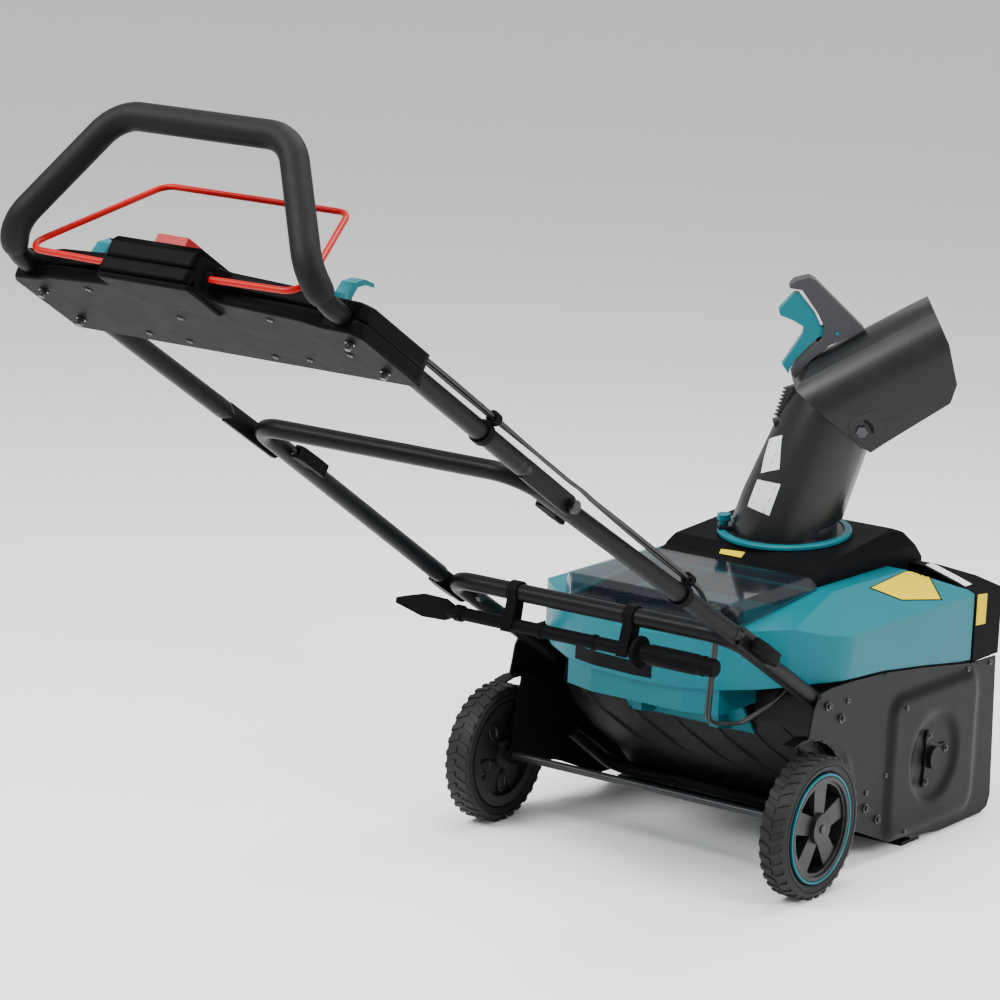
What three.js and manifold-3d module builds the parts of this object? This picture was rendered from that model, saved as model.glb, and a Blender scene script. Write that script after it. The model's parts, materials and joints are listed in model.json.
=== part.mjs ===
// Walk-behind battery snow thrower, built as an assembly of separate closed solids.
// Millimetres. +X is the operator's right, +Y is forward, +Z is up, ground is Z = 0.
import * as THREE from 'three';
import Module from 'manifold-3d';

const wasm = await Module();
wasm.setup();

// ---- driving dimensions -------------------------------------------------
const X_SHIFT = 13;              // centres the overall width, the cleaning blade reaches past a wheel
const Y_SHIFT = 291.5;           // centres the overall length, the axle line starts at Y = 0
const WHEEL_R = 101.5;           // 8 inch class tyre
const WHEEL_IN = 246.5;          // inner face of the tyre
const WHEEL_OUT = 289;           // outer face of the tyre
const PANEL_IN = 252.5;          // inner face of a side plate
const PANEL_T = 3;               // side plate thickness
const AUGER_Y = 358;             // auger axis, forward of the axle
const AUGER_Z = 125;             // auger axis height
const AUGER_R = 104;             // rubber flight radius
const TUBE_R = 12.7;             // handle tube radius
const TUBE_BORE = 11.4;          // handle tube inner radius
const LEG_LOW_X = 239.4;         // lower frame leg centre
const HINGE1 = [-120, 363.4];    // lower fold hinge, (Y, Z)
const HINGE2 = [-581, 640];      // upper fold hinge, (Y, Z)
const RAKE = 31.5 * Math.PI / 180;  // upper handle angle above level
const CHUTE_C = [0, 333, 424];   // centre of the chute ring
const CHUTE_TILT = 5 * Math.PI / 180;
const CHUTE_TURN = -54 * Math.PI / 180;  // chute rests turned towards the right
const MOTOR_YZ = [92, 316];      // drive motor axis

const group = new THREE.Group();
group.name = 'snow_blower';

// ---- small solid-modelling helpers --------------------------------------
function solid(geometry) {
  const source = geometry.index ? geometry.toNonIndexed() : geometry;
  const position = source.attributes.position;
  const seen = new Map();
  const vertices = [];
  const corners = [];
  for (let i = 0; i < position.count; i += 1) {
    const p = [position.getX(i), position.getY(i), position.getZ(i)];
    const key = p.map((v) => Math.round(v * 2000)).join(',');
    if (!seen.has(key)) {
      seen.set(key, vertices.length / 3);
      vertices.push(...p);
    }
    corners.push(seen.get(key));
  }
  const triangles = [];
  for (let i = 0; i < corners.length; i += 3) {
    const [a, b, c] = [corners[i], corners[i + 1], corners[i + 2]];
    if (a !== b && b !== c && c !== a) triangles.push(a, b, c);
  }
  const mesh = new wasm.Mesh({
    numProp: 3,
    vertProperties: new Float32Array(vertices),
    triVerts: new Uint32Array(triangles),
  });
  return new wasm.Manifold(mesh);
}

function join(...items) {
  return items.slice(1).reduce((sum, item) => sum.add(item), items[0]);
}

function cut(body, ...tools) {
  return tools.reduce((rest, tool) => rest.subtract(tool), body);
}

// outline without repeated or in-line points
function clean(points) {
  return points.filter((p, i) => {
    const a = points[(i + points.length - 1) % points.length];
    const b = points[(i + 1) % points.length];
    const cross = (p[0] - a[0]) * (b[1] - p[1]) - (p[1] - a[1]) * (b[0] - p[0]);
    return Math.abs(cross) > 1e-4;
  });
}

function extrude(outline, depth, matrix) {
  const points = clean(outline.filter((p, i) => {
    const q = outline[(i + 1) % outline.length];
    return Math.hypot(p[0] - q[0], p[1] - q[1]) > 1e-3;
  }));
  const area = points.reduce((sum, p, i) => {
    const q = points[(i + 1) % points.length];
    return sum + p[0] * q[1] - q[0] * p[1];
  }, 0);
  const ordered = area > 0 ? points : [...points].reverse();
  const shape = new THREE.Shape(ordered.map((p) => new THREE.Vector2(p[0], p[1])));
  const geometry = new THREE.ExtrudeGeometry(shape, { depth, bevelEnabled: false, steps: 1 });
  geometry.applyMatrix4(matrix);
  return solid(geometry);
}

function basis(x, y, z, origin) {
  return new THREE.Matrix4().makeBasis(x, y, z).setPosition(origin);
}

const X = new THREE.Vector3(1, 0, 0);
const Y = new THREE.Vector3(0, 1, 0);
const Z = new THREE.Vector3(0, 0, 1);

// prism along X from a (Y, Z) outline, along Y from (X, Z), along Z from (X, Y)
function prismX(points, x0, x1) {
  return extrude(points, x1 - x0, basis(Y, Z, X, new THREE.Vector3(x0, 0, 0)));
}

function prismY(points, y0, y1) {
  return extrude(points, y1 - y0, basis(X, Z, Y.clone().negate(), new THREE.Vector3(0, y1, 0)));
}

function prismZ(points, z0, z1) {
  return extrude(points, z1 - z0, basis(X, Y, Z, new THREE.Vector3(0, 0, z0)));
}

function box(x0, x1, y0, y1, z0, z1) {
  return prismZ([[x0, y0], [x1, y0], [x1, y1], [x0, y1]], z0, z1);
}

function disc(cu, cv, r, n = 24, ru = r, phase = 0) {
  const points = [];
  for (let i = 0; i < n; i += 1) {
    const a = (i / n) * Math.PI * 2 + phase;
    points.push([cu + Math.cos(a) * ru, cv + Math.sin(a) * r]);
  }
  return points;
}

function rodX(y, z, r, x0, x1, n = 14) {
  return prismX(disc(y, z, r, n), x0, x1);
}

function rodZ(x, y, r, z0, z1, n = 18) {
  return prismZ(disc(x, y, r, n), z0, z1);
}

function mirrored(points) {
  return [...points, ...[...points].reverse().map((p) => [-p[0], p[1]])];
}

function arc(cu, cv, r, a0, a1, n) {
  const points = [];
  for (let i = 0; i <= n; i += 1) {
    const a = (a0 + (a1 - a0) * (i / n)) * Math.PI / 180;
    points.push([cu + Math.cos(a) * r, cv + Math.sin(a) * r]);
  }
  return points;
}

// a sheet of constant thickness that follows an open outline; t > 0 thickens to the left
function sheet(points, t) {
  const other = points.map((p, i) => {
    const a = points[Math.max(i - 1, 0)];
    const b = points[Math.min(i + 1, points.length - 1)];
    const d1 = unit2(p, i ? a : b, !i);
    const d2 = unit2(p, i < points.length - 1 ? b : a, i === points.length - 1);
    const n1 = i ? [d1[1], -d1[0]] : [-d2[1], d2[0]];
    const n2 = i < points.length - 1 ? [-d2[1], d2[0]] : n1;
    const m = [n1[0] + n2[0], n1[1] + n2[1]];
    const k = (2 * t) / (m[0] * m[0] + m[1] * m[1]);
    return [p[0] + m[0] * k, p[1] + m[1] * k];
  });
  return [...points, ...other.reverse()];
}

function unit2(from, to) {
  const d = [to[0] - from[0], to[1] - from[1]];
  const l = Math.hypot(d[0], d[1]);
  return [d[0] / l, d[1] / l];
}

// stations of a bent tube: straight legs with rounded corners
function rounded(corners, radii, n = 6) {
  const pts = corners.map((c) => new THREE.Vector3(...c));
  const out = [pts[0]];
  for (let i = 1; i < pts.length - 1; i += 1) {
    const r = Array.isArray(radii) ? radii[i - 1] : radii;
    const din = pts[i].clone().sub(pts[i - 1]).normalize();
    const dout = pts[i + 1].clone().sub(pts[i]).normalize();
    const turn = din.angleTo(dout);
    const reach = r * Math.tan(turn / 2);
    const start = pts[i].clone().addScaledVector(din, -reach);
    const normal = dout.clone().addScaledVector(din, -din.dot(dout)).normalize();
    const centre = start.clone().addScaledVector(normal, r);
    for (let k = 0; k <= n; k += 1) {
      const a = turn * (k / n);
      const p = centre.clone().addScaledVector(normal, -r * Math.cos(a));
      out.push(p.addScaledVector(din, r * Math.sin(a)));
    }
  }
  out.push(pts[pts.length - 1]);
  return out;
}

class Stations extends THREE.Curve {
  constructor(points) {
    super();
    this.points = points;
  }

  getPoint(t, target = new THREE.Vector3()) {
    const n = this.points.length - 1;
    const s = Math.min(Math.max(t, 0) * n, n - 1e-7);
    const i = Math.floor(s);
    return target.lerpVectors(this.points[i], this.points[i + 1], s - i);
  }

  getUtoTmapping(u) {
    return u;
  }
}

function sweep(stations, outline, hole) {
  const shape = new THREE.Shape(outline.map((p) => new THREE.Vector2(p[0], p[1])));
  if (hole) shape.holes.push(new THREE.Path(hole.map((p) => new THREE.Vector2(p[0], p[1]))));
  const path = new Stations(stations);
  const options = { steps: stations.length - 1, bevelEnabled: false, extrudePath: path };
  return solid(new THREE.ExtrudeGeometry(shape, options));
}

// a body through a row of round sections; each section is [y, z, lean, rx, rv]
function loft(sections, n = 20) {
  const p = [];
  const index = [];
  sections.forEach(([y, z, lean, rx, rv]) => {
    for (let i = 0; i < n; i += 1) {
      const a = (i / n) * Math.PI * 2;
      const v = Math.sin(a) * rv;
      p.push(Math.cos(a) * rx, y + v * Math.cos(lean), z - v * Math.sin(lean));
    }
  });
  for (let s = 0; s < sections.length - 1; s += 1) {
    for (let i = 0; i < n; i += 1) {
      const a = s * n + i;
      const b = s * n + ((i + 1) % n);
      index.push(a, b, b + n, a, b + n, a + n);
    }
  }
  const first = p.length / 3;
  const [y0, z0] = sections[0];
  const [y1, z1] = sections[sections.length - 1];
  p.push(0, y0, z0, 0, y1, z1);
  const last = (sections.length - 1) * n;
  for (let i = 0; i < n; i += 1) {
    index.push(first, (i + 1) % n, i);
    index.push(first + 1, last + i, last + ((i + 1) % n));
  }
  const geometry = new THREE.BufferGeometry();
  geometry.setAttribute('position', new THREE.Float32BufferAttribute(p, 3));
  geometry.setIndex(index);
  return solid(geometry);
}

function place(body, matrix) {
  return body.transform(Array.from(matrix.elements));
}

function add(name, body, color, roughness = 0.6, metalness = 0, opacity = 1) {
  const mesh = body.simplify(0.01).getMesh();
  const geometry = new THREE.BufferGeometry();
  geometry.setAttribute('position', new THREE.BufferAttribute(new Float32Array(mesh.vertProperties), 3));
  geometry.setIndex(new THREE.BufferAttribute(new Uint32Array(mesh.triVerts), 1));
  geometry.translate(X_SHIFT, Y_SHIFT, 0);
  geometry.computeVertexNormals();
  const material = new THREE.MeshStandardMaterial({ color, roughness, metalness });
  if (opacity < 1) {
    material.transparent = true;
    material.opacity = opacity;
  }
  const item = new THREE.Mesh(geometry, material);
  item.name = name;
  group.add(item);
}

const TEAL = 0x12b5c4;
const BLACK = 0x2b2c2f;
const STEEL_BLACK = 0x3a3c40;
const RUBBER = 0x1d1d1f;
const RED = 0xe0524c;
const ZINC = 0xb9bcc0;

// ---- auger housing --------------------------------------------------------
const REAR_WALL = [
  [352, 9.5], [325, 9.5], [302, 24], [250, 72], [180, 118], [128, 165], [98, 205],
  [106, 250], [130, 282], [150, 312], [180, 337], [440, 340], [532, 335], [541, 318], [541, 250],
];
const HOUSING_L = -219;
const HOUSING_R = 252.2;
const chuteFrame = new THREE.Matrix4()
  .makeTranslation(...CHUTE_C)
  .multiply(new THREE.Matrix4().makeRotationX(CHUTE_TILT));
const ductOuter = place(rodZ(0, 0, 81, -100, -12, 28), chuteFrame);
const ductInner = place(rodZ(0, 0, 78, -130, 0, 28), chuteFrame);
const wallProfile = sheet(REAR_WALL, 3);
const sideSection = [
  [HOUSING_L, 0], [HOUSING_R, 0], [HOUSING_R, 238], [245, 246], [245, 350], [HOUSING_L, 350],
];
const upperEnd = [
  [105, 242], [106, 250], [130, 282], [150, 312], [180, 337], [440, 340], [532, 335], [541, 318],
  [541, 250], [541, 242],
];
const lowerEnd = [...REAR_WALL, [541, 242], [545, 20], [520, 9.5]];
add('auger_housing', cut(
  join(
    prismX(wallProfile, HOUSING_L, HOUSING_R).intersect(prismY(sideSection, -20, 600)),
    prismX(upperEnd, 242, 245),
    prismX(lowerEnd, HOUSING_L, HOUSING_L + 3),
    ductOuter,
  ),
  ductInner.intersect(box(-90, 90, 200, 480, 325, 460)),
  rodX(AUGER_Y, AUGER_Z, 14, -230, -200),
), 0x2f3033, 0.7);

add('scraper_blade', box(-250, 250, 300, 352, 0, 6), 0x54575c, 0.5, 0.4);

// ---- side plates ------------------------------------------------------------
const plateOutline = [
  [11, 238.5], [16, 260.5], [29, 281], [60, 284.6], [112, 284.6], [208, 279.6], [319, 266.6],
  [433, 250.8], [466, 246.4], [539, 244.4], [552, 25.7], [544, 9], [523.8, 3], [398, 3],
  [288, 17], [251, 18.5], [150, 58], [112, 70], [60, 101.5], [0, 200],
];
const recessOutline = [
  [12, 212], [8, 198], [-5, 112], [-14, 101.5], [-9, 91], [0, 87], [60, 78],
  ...arc(0, 101.5, 119.5, -14, 84, 10),
];
const archWall = [...arc(0, 101.5, 118, -14, 105, 11), ...arc(0, 101.5, 121, 105, -14, 11)];
const panel = cut(
  join(
    cut(prismX(plateOutline, PANEL_IN, PANEL_IN + PANEL_T), rodX(0, 101.5, 119.5, 240, 260, 36)),
    prismX(archWall, 236, PANEL_IN + PANEL_T),
    prismX(recessOutline, 236, 239),
  ),
  rodX(0, 101.5, 6.4, 230, 260),
  rodX(AUGER_Y, AUGER_Z, 14, 250, 260),
);
add('side_panel_right', panel, STEEL_BLACK, 0.55, 0.3);
add('side_panel_left', panel.mirror([1, 0, 0]), STEEL_BLACK, 0.55, 0.3);

const flangeLobe = (a, r) => [AUGER_Y + Math.cos(a) * r, AUGER_Z + Math.sin(a) * r];
const flangeArms = [112, 245, 10].map((deg) => {
  const a = deg * Math.PI / 180;
  const tip = flangeLobe(a, 38);
  const side = [Math.cos(a + Math.PI / 2), Math.sin(a + Math.PI / 2)];
  return join(
    prismX([
      [AUGER_Y + side[0] * 18, AUGER_Z + side[1] * 18],
      [AUGER_Y - side[0] * 18, AUGER_Z - side[1] * 18],
      [tip[0] - side[0] * 8, tip[1] - side[1] * 8],
      [tip[0] + side[0] * 8, tip[1] + side[1] * 8],
    ], 255.8, 258.6),
    rodX(tip[0], tip[1], 8.5, 255.8, 258.6, 10),
  );
});
const flange = cut(
  join(
    rodX(AUGER_Y, AUGER_Z, 24, 255.8, 258.6, 16),
    rodX(AUGER_Y, AUGER_Z, 17, 258, 266, 16),
    ...flangeArms,
  ),
  rodX(AUGER_Y, AUGER_Z, 9, 250, 263),
);
add('bearing_flange_right', flange, STEEL_BLACK, 0.45, 0.4);
add('bearing_flange_left', flange.mirror([1, 0, 0]), STEEL_BLACK, 0.45, 0.4);

// ---- auger -------------------------------------------------------------------
add('auger_shaft', join(
  rodX(AUGER_Y, AUGER_Z, 8, -261.5, 261.5, 14),
  rodX(AUGER_Y, AUGER_Z, 38, -234, -224, 28),
  rodX(AUGER_Y, AUGER_Z, 12, -246, -221),
), ZINC, 0.4, 0.8);

// two rubber blades on a hub, twisted outwards both ways from a straight throwing paddle
const PADDLE_HALF = 50;
const FLIGHT_TWIST = 0.75 * Math.PI * 2 / 180;  // radians for each millimetre along the shaft
function flightSection(x) {
  const past = Math.max(0, Math.abs(x) - PADDLE_HALF);
  const turn = 0.3 + past * FLIGHT_TWIST;
  const half = 3.5 + Math.min(past / 10, 1) * 4.5;
  const root = Math.asin(3.5 / 17);
  const blade = [[AUGER_R - 1, -half], [AUGER_R - 1, half]];
  const hub = arc(0, 0, 17, root * 180 / Math.PI, 180 - root * 180 / Math.PI, 4);
  const side = [...blade, ...hub];
  const outline = [...side, ...side.map((p) => [-p[0], -p[1]])];
  return outline.map(([u, v]) => [
    x,
    AUGER_Y + u * Math.cos(turn) - v * Math.sin(turn),
    AUGER_Z + u * Math.sin(turn) + v * Math.cos(turn),
  ]);
}
const flightStations = [];
for (let x = -206; x < -PADDLE_HALF; x += 13) flightStations.push(x);
for (let x = PADDLE_HALF; x < 232; x += 13) flightStations.push(x);
function flightBody() {
  const rings = flightStations.map(flightSection);
  const n = rings[0].length;
  const index = [];
  for (let r = 0; r < rings.length - 1; r += 1) {
    for (let i = 0; i < n; i += 1) {
      const a = r * n + i;
      const b = r * n + ((i + 1) % n);
      index.push(a, b, b + n, a, b + n, a + n);
    }
  }
  const flat = rings[0].map((p) => new THREE.Vector2(p[1], p[2]));
  const last = rings[rings.length - 1].map((p) => new THREE.Vector2(p[1], p[2]));
  THREE.ShapeUtils.triangulateShape(flat, []).forEach(([a, b, c]) => index.push(a, c, b));
  const offset = (rings.length - 1) * n;
  THREE.ShapeUtils.triangulateShape(last, []).forEach((face) => {
    index.push(...face.map((corner) => corner + offset));
  });
  const geometry = new THREE.BufferGeometry();
  geometry.setAttribute('position', new THREE.Float32BufferAttribute(rings.flat(2), 3));
  geometry.setIndex(index);
  return solid(geometry);
}
add('auger_flights', cut(flightBody(), rodX(AUGER_Y, AUGER_Z, 8.3, -240, 240)), RUBBER, 0.85);

// ---- drive: motor, pulley, belt, controller --------------------------------------
add('drive_motor', cut(
  join(rodX(...MOTOR_YZ, 36, -214, -142, 36), rodX(...MOTOR_YZ, 15, -218, -214)),
  rodX(...MOTOR_YZ, 6, -230, -150),
), 0x55585c, 0.45, 0.6);
add('motor_rotor', join(
  rodX(...MOTOR_YZ, 5.5, -238, -152),
  rodX(...MOTOR_YZ, 13, -235, -223, 24),
), ZINC, 0.4, 0.8);
function beltOutline(r1, r2) {
  const dy = AUGER_Y - MOTOR_YZ[0];
  const dz = AUGER_Z - MOTOR_YZ[1];
  const base = Math.atan2(dz, dy) * 180 / Math.PI;
  const off = Math.acos((r1 - r2) / Math.hypot(dy, dz)) * 180 / Math.PI;
  return [
    ...arc(AUGER_Y, AUGER_Z, r2, base - off, base + off, 20),
    ...arc(MOTOR_YZ[0], MOTOR_YZ[1], r1, base + off, base + 360 - off, 14),
  ];
}
add('drive_belt', cut(
  prismX(beltOutline(16.3, 41.3), -233, -225),
  prismX(beltOutline(13.3, 38.3), -240, -220),
), RUBBER, 0.8);
add('controller_box', box(144, 204, 44, 116, 288, 344), 0x37393c, 0.6);

// ---- hood, cover, ring ------------------------------------------------------------
const hoodPlan = (d) => mirrored([
  [0, -58 + d], [70, -52 + d], [130 - d * 0.5, -33 + d], [175 - d * 0.7, -5 + d],
  [205 - d, 22 + d * 0.7],
  [222 - d, 45 + d * 0.6], [240 - d, 75], [251 - d, 105], [252 - d, 130], [252 - d, 467],
]);
const hoodSide = (d) => [
  [-70, 271], [-40, 275], [20, 284], [60, 287.5], [112, 287.5], [208, 282], [319, 269], [433, 253.5],
  [470, 250.5], [470, 353 - d], [400, 384 - d], [200, 385 - d], [60, 371 - d], [-30, 362 - d],
  [-48, 352 - d], [-70, 330 - d],
];
const deckSection = (d) => mirrored([
  [252 - d, 200], [252 - d, 350 - d * 0.6], [215, 365 - d], [165, 386 - d], [150, 400 - d], [0, 400 - d],
]);
const centrePlan = (d) => [
  [-138 - d, 195 - d], [138 + d, 195 - d], [138 + d, 440 - d], [160 + d, 467 - d], [254 + d, 467 - d],
  [254 + d, 560], [-254 - d, 560], [-254 - d, 467 - d], [-160 - d, 467 - d], [-138 - d, 440 - d],
];
const hoodOuter = prismZ(hoodPlan(0), 240, 420)
  .intersect(prismX(hoodSide(0), -260, 260))
  .intersect(prismY(deckSection(0), -80, 480));
const hoodInner = prismZ(hoodPlan(3), 230, 420)
  .intersect(prismX([[-60, 240], [475, 240], [475, 350], ...hoodSide(3).slice(10)], -260, 260))
  .intersect(prismY(deckSection(3), -80, 480));
add('hood', cut(
  hoodOuter,
  hoodInner,
  prismZ(centrePlan(0.4), 200, 460),
  box(-136, 136, -26, 186, 345, 420),
), TEAL, 0.45);

const bandSide = (d) => [
  [466, 247 - d], [548 - d, 247 - d], [548 - d, 345 - d], [532 - d, 362 - d], [500, 376 - d],
  [466, 384 - d],
];
const bandSection = (d) => mirrored([
  [254 - d, 240], [254 - d, 350 - d], [215, 363 - d], [160, 379 - d], [0, 390 - d],
]);
const moundSide = (d) => [
  [195 + d, 372 - d], [195 + d, 393 - d], [224, 399 - d], [243, 414.8 - d], [440, 432 - d],
  [462 - d, 424 - d], [505 - d, 382 - d], [505 - d, 350],
  [195 + d, 350],
];
const moundSection = (d) => mirrored([
  [138 - d, 340], [138 - d, 403 - d], [126, 428 - d], [112, 436 - d], [0, 436 - d],
]);
const coverOf = (d) => join(
  prismX(bandSide(d), -260, 260).intersect(prismY(bandSection(d), 460, 560)),
  prismX(moundSide(d), -260, 260).intersect(prismY(moundSection(d), 190, 510)),
);
const coverShell = cut(
  coverOf(0),
  coverOf(3),
  box(-300, 300, 460, 469.5, 200, 340),
  box(-251, 251, 460, 545, 200, 300),
  box(-135, 135, 198, 502, 300, 365),
).intersect(prismZ(centrePlan(0), 200, 460));
add('top_cover', cut(
  coverShell,
  place(rodZ(0, 0, 84, -60, 20, 28), chuteFrame),
), BLACK, 0.55);

add('chute_ring', place(cut(
  loft([[0, -0.4, 0, 100, 100], [0, 4.5, 0, 100, 100], [0, 6.5, 0, 97, 97]], 32),
  rodZ(0, 0, 88.3, -5, 12, 32),
), chuteFrame), TEAL, 0.4);

// ---- battery bay -------------------------------------------------------------------
const trayTongue = [
  [66, 242], [66, 236], [90.5, 205], [108, 184], [105, 181], [87, 203], [62, 233], [62, 242],
];
const trayStrut = [[60, 240], [60, 192], [84, 186], [105.5, 186], [91, 205.4], [75, 240]];
add('battery_tray', cut(
  join(
    box(-128, 128, -46, 70, 238, 350).intersect(prismZ(hoodPlan(3.6), 200, 400)),
    box(-132, 132, -18, 183, 350, 353),
    prismX(trayTongue, -108, 108),
    prismX(trayStrut, -74, -58),
    prismX(trayStrut, 58, 74),
  ),
  box(-125, 125, -43, 66, 241, 360).intersect(prismZ(hoodPlan(7), 200, 400)),
), 0x10a3b2, 0.5);
add('battery_left', join(
  box(-116, -5, -20, 60, 242, 352),
  box(-110, -12, -16, 54, 350, 376),
), 0x2a3440, 0.5);
add('battery_right', join(
  box(5, 116, -20, 60, 242, 352),
  box(12, 110, -16, 54, 350, 376),
), 0x2a3440, 0.5);
const lidSide = (d) => [
  [-46 + d, 361.6 - d * 2], [-41 + d, 391 - d], [-28 + d, 400 - d], [182 - d, 402.5 - d],
  [190 - d, 399 - d],
  [191 - d, 385.3 - d * 2], [60, 372.4 - d * 2], [-30, 363.4 - d * 2],
];
const lidSection = (d) => mirrored([
  [146 - d, 340], [146 - d, 388 - d], [132 - d, 404 - d], [0, 404 - d],
]);
const lidPlan = (d) => mirrored([[118 - d, -46 + d], [146 - d, -18 + d], [146 - d, 191 - d]]);
const lidOf = (d) => prismX(lidSide(d), -150, 150)
  .intersect(prismY(lidSection(d), -60, 200))
  .intersect(prismZ(lidPlan(d), 300, 420));
add('battery_lid', cut(lidOf(0), lidOf(2.6)), 0x6f7a86, 0.15, 0, 0.45);

// ---- wheels and axle -----------------------------------------------------------------
add('axle_rod', rodX(0, 101.5, 6, -292, 292), ZINC, 0.35, 0.8);
const spin = new THREE.Matrix4().makeTranslation(0, 0, 101.5).multiply(
  new THREE.Matrix4().makeBasis(Y, Z, X),
);
function turned(profile, n = 28) {
  const geometry = new THREE.LatheGeometry(profile.map((p) => new THREE.Vector2(p[0], p[1])), n);
  geometry.applyMatrix4(new THREE.Matrix4().makeRotationX(Math.PI / 2));
  return place(solid(geometry), spin);
}
const tyre = turned([
  [84, WHEEL_IN], [96, WHEEL_IN], [WHEEL_R, WHEEL_IN + 6], [WHEEL_R, WHEEL_OUT - 6], [96, WHEEL_OUT],
  [84, WHEEL_OUT], [80.3, WHEEL_OUT - 6], [80.3, WHEEL_IN + 6], [84, WHEEL_IN],
]);
const spokes = [0, 1, 2, 3, 4].map((i) => {
  const a = (i / 5) * Math.PI * 2 + 0.3;
  const c = [Math.cos(a), Math.sin(a)];
  const s = [-c[1], c[0]];
  const at = (r, k) => [c[0] * r + s[0] * k, 101.5 + c[1] * r + s[1] * k];
  return prismX([at(18, 13), at(18, -13), at(68, -17), at(68, 17)], WHEEL_IN + 10, WHEEL_OUT - 6);
});
const rim = cut(
  join(
    cut(rodX(0, 101.5, 79.3, WHEEL_IN + 3, WHEEL_OUT - 3, 28), rodX(0, 101.5, 64, 200, 300, 20)),
    rodX(0, 101.5, 22, WHEEL_IN + 1, WHEEL_OUT + 1, 16),
    prismX(disc(0, 101.5, 66, 20), WHEEL_IN + 12, WHEEL_IN + 16),
    ...spokes,
  ),
  rodX(0, 101.5, 6.3, 200, 300),
);
const trimRing = cut(
  rodX(0, 101.5, 78.6, WHEEL_OUT - 2.7, WHEEL_OUT + 0.8, 24),
  rodX(0, 101.5, 68, 200, 300, 24),
);
add('tyre_right', tyre, RUBBER, 0.9);
add('rim_right', rim, BLACK, 0.5);
add('rim_ring_right', trimRing, TEAL, 0.4);
add('tyre_left', tyre.mirror([1, 0, 0]), RUBBER, 0.9);
add('rim_left', rim.mirror([1, 0, 0]), BLACK, 0.5);
add('rim_ring_left', trimRing.mirror([1, 0, 0]), TEAL, 0.4);

// ---- lower frame tubes -----------------------------------------------------------------
const LOW_TOP = [-180, 398.7];
const lowDir = unit2(LOW_TOP, HINGE1);
const lowEnd = [LOW_TOP[0] + lowDir[0] * 318, LOW_TOP[1] + lowDir[1] * 318];
const lowerPath = rounded([
  [-LEG_LOW_X, ...lowEnd], [-LEG_LOW_X, ...LOW_TOP], [LEG_LOW_X, ...LOW_TOP], [LEG_LOW_X, ...lowEnd],
], 45, 4);
const round = disc(0, 0, TUBE_R, 12);
const roundBore = disc(0, 0, TUBE_BORE, 8);
const hole1 = rodX(...HINGE1, 4.3, -300, 300, 16);
add('lower_frame', cut(sweep(lowerPath, round, roundBore), hole1), STEEL_BLACK, 0.4, 0.5);

const footPath = rounded([
  [-LEG_LOW_X, 156, 104.5], [-LEG_LOW_X, 268, 31], [LEG_LOW_X, 268, 31], [LEG_LOW_X, 156, 104.5],
], 36, 4);
add('bottom_tube', cut(
  sweep(footPath, disc(0, 0, 11, 12), disc(0, 0, 9.6, 8)),
  box(-300, 300, 100, 128, 0, 200),
), STEEL_BLACK, 0.4, 0.5);

// ---- mid frame -----------------------------------------------------------------------------
const midDir = unit2(HINGE1, HINGE2);
const midNormal = [midDir[1], -midDir[0]];
const midAt = (s, v = 0) => [
  HINGE1[0] + midDir[0] * s + midNormal[0] * v,
  HINGE1[1] + midDir[1] * s + midNormal[1] * v,
];
const midLow = midAt(78);
const midTop = midAt(628);
const midPath = rounded([
  [-247, ...midLow], [-213, ...midTop], [213, ...midTop], [247, ...midLow],
], 48, 4);
const tabOutline = (s0, s1, half, at) => [
  at(s0, -half), at(s1, -half), at(s1, half), at(s0, half), at(s0 - half * 0.8, half * 0.5),
  at(s0 - half * 0.8, -half * 0.5),
];
const midTab = join(
  prismX(tabOutline(-10, 84, 14, midAt), 252.6, 259.4),
  prismX([midAt(76, -12), midAt(92, -10), midAt(92, 10), midAt(76, 12)], 236, 259.4),
);
const bore2 = rodX(...HINGE2, 4.3, -300, 300, 16);
add('mid_frame', cut(
  join(sweep(midPath, round, roundBore), midTab, midTab.mirror([1, 0, 0])),
  hole1,
  bore2,
), STEEL_BLACK, 0.4, 0.5);

// ---- upper handle, foam and console -----------------------------------------------------------
const upDir = [-Math.cos(RAKE), Math.sin(RAKE)];
const upNormal = [Math.sin(RAKE), Math.cos(RAKE)];
const upAt = (s, v = 0) => [
  HINGE2[0] + upDir[0] * s + upNormal[0] * v,
  HINGE2[1] + upDir[1] * s + upNormal[1] * v,
];
const UP_X = 236;
const upperPath = rounded([
  [UP_X, ...upAt(128)], [UP_X, ...upAt(631)], [130, -1028, 1123], [-130, -1028, 1123],
  [-UP_X, ...upAt(631)], [-UP_X, ...upAt(128)],
], [52, 58, 58, 52], 4);
const upTab = join(
  prismX(tabOutline(-6, 122, 14, upAt), 232.4, 238.4),
  prismX([upAt(112, -12), upAt(136, -11), upAt(136, 11), upAt(112, 12)], 228, 244),
);
add('upper_handle', cut(
  join(sweep(upperPath, round, roundBore), upTab, upTab.mirror([1, 0, 0])),
  bore2,
  rodX(...upAt(450), 3, 215, UP_X),
), STEEL_BLACK, 0.4, 0.5);
// the soft sleeve starts just above the console
const foamPath = upperPath.slice(2, upperPath.length - 2);
add('foam_grip', sweep(foamPath, disc(0, 0, 17.5, 12), disc(0, 0, 13.9, 12)), 0x3b3c3f, 0.95);

const consoleFrame = new THREE.Matrix4().makeBasis(
  X,
  new THREE.Vector3(0, ...upDir),
  new THREE.Vector3(0, ...upNormal).negate(),
);
consoleFrame.setPosition(0, ...HINGE2);
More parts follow.
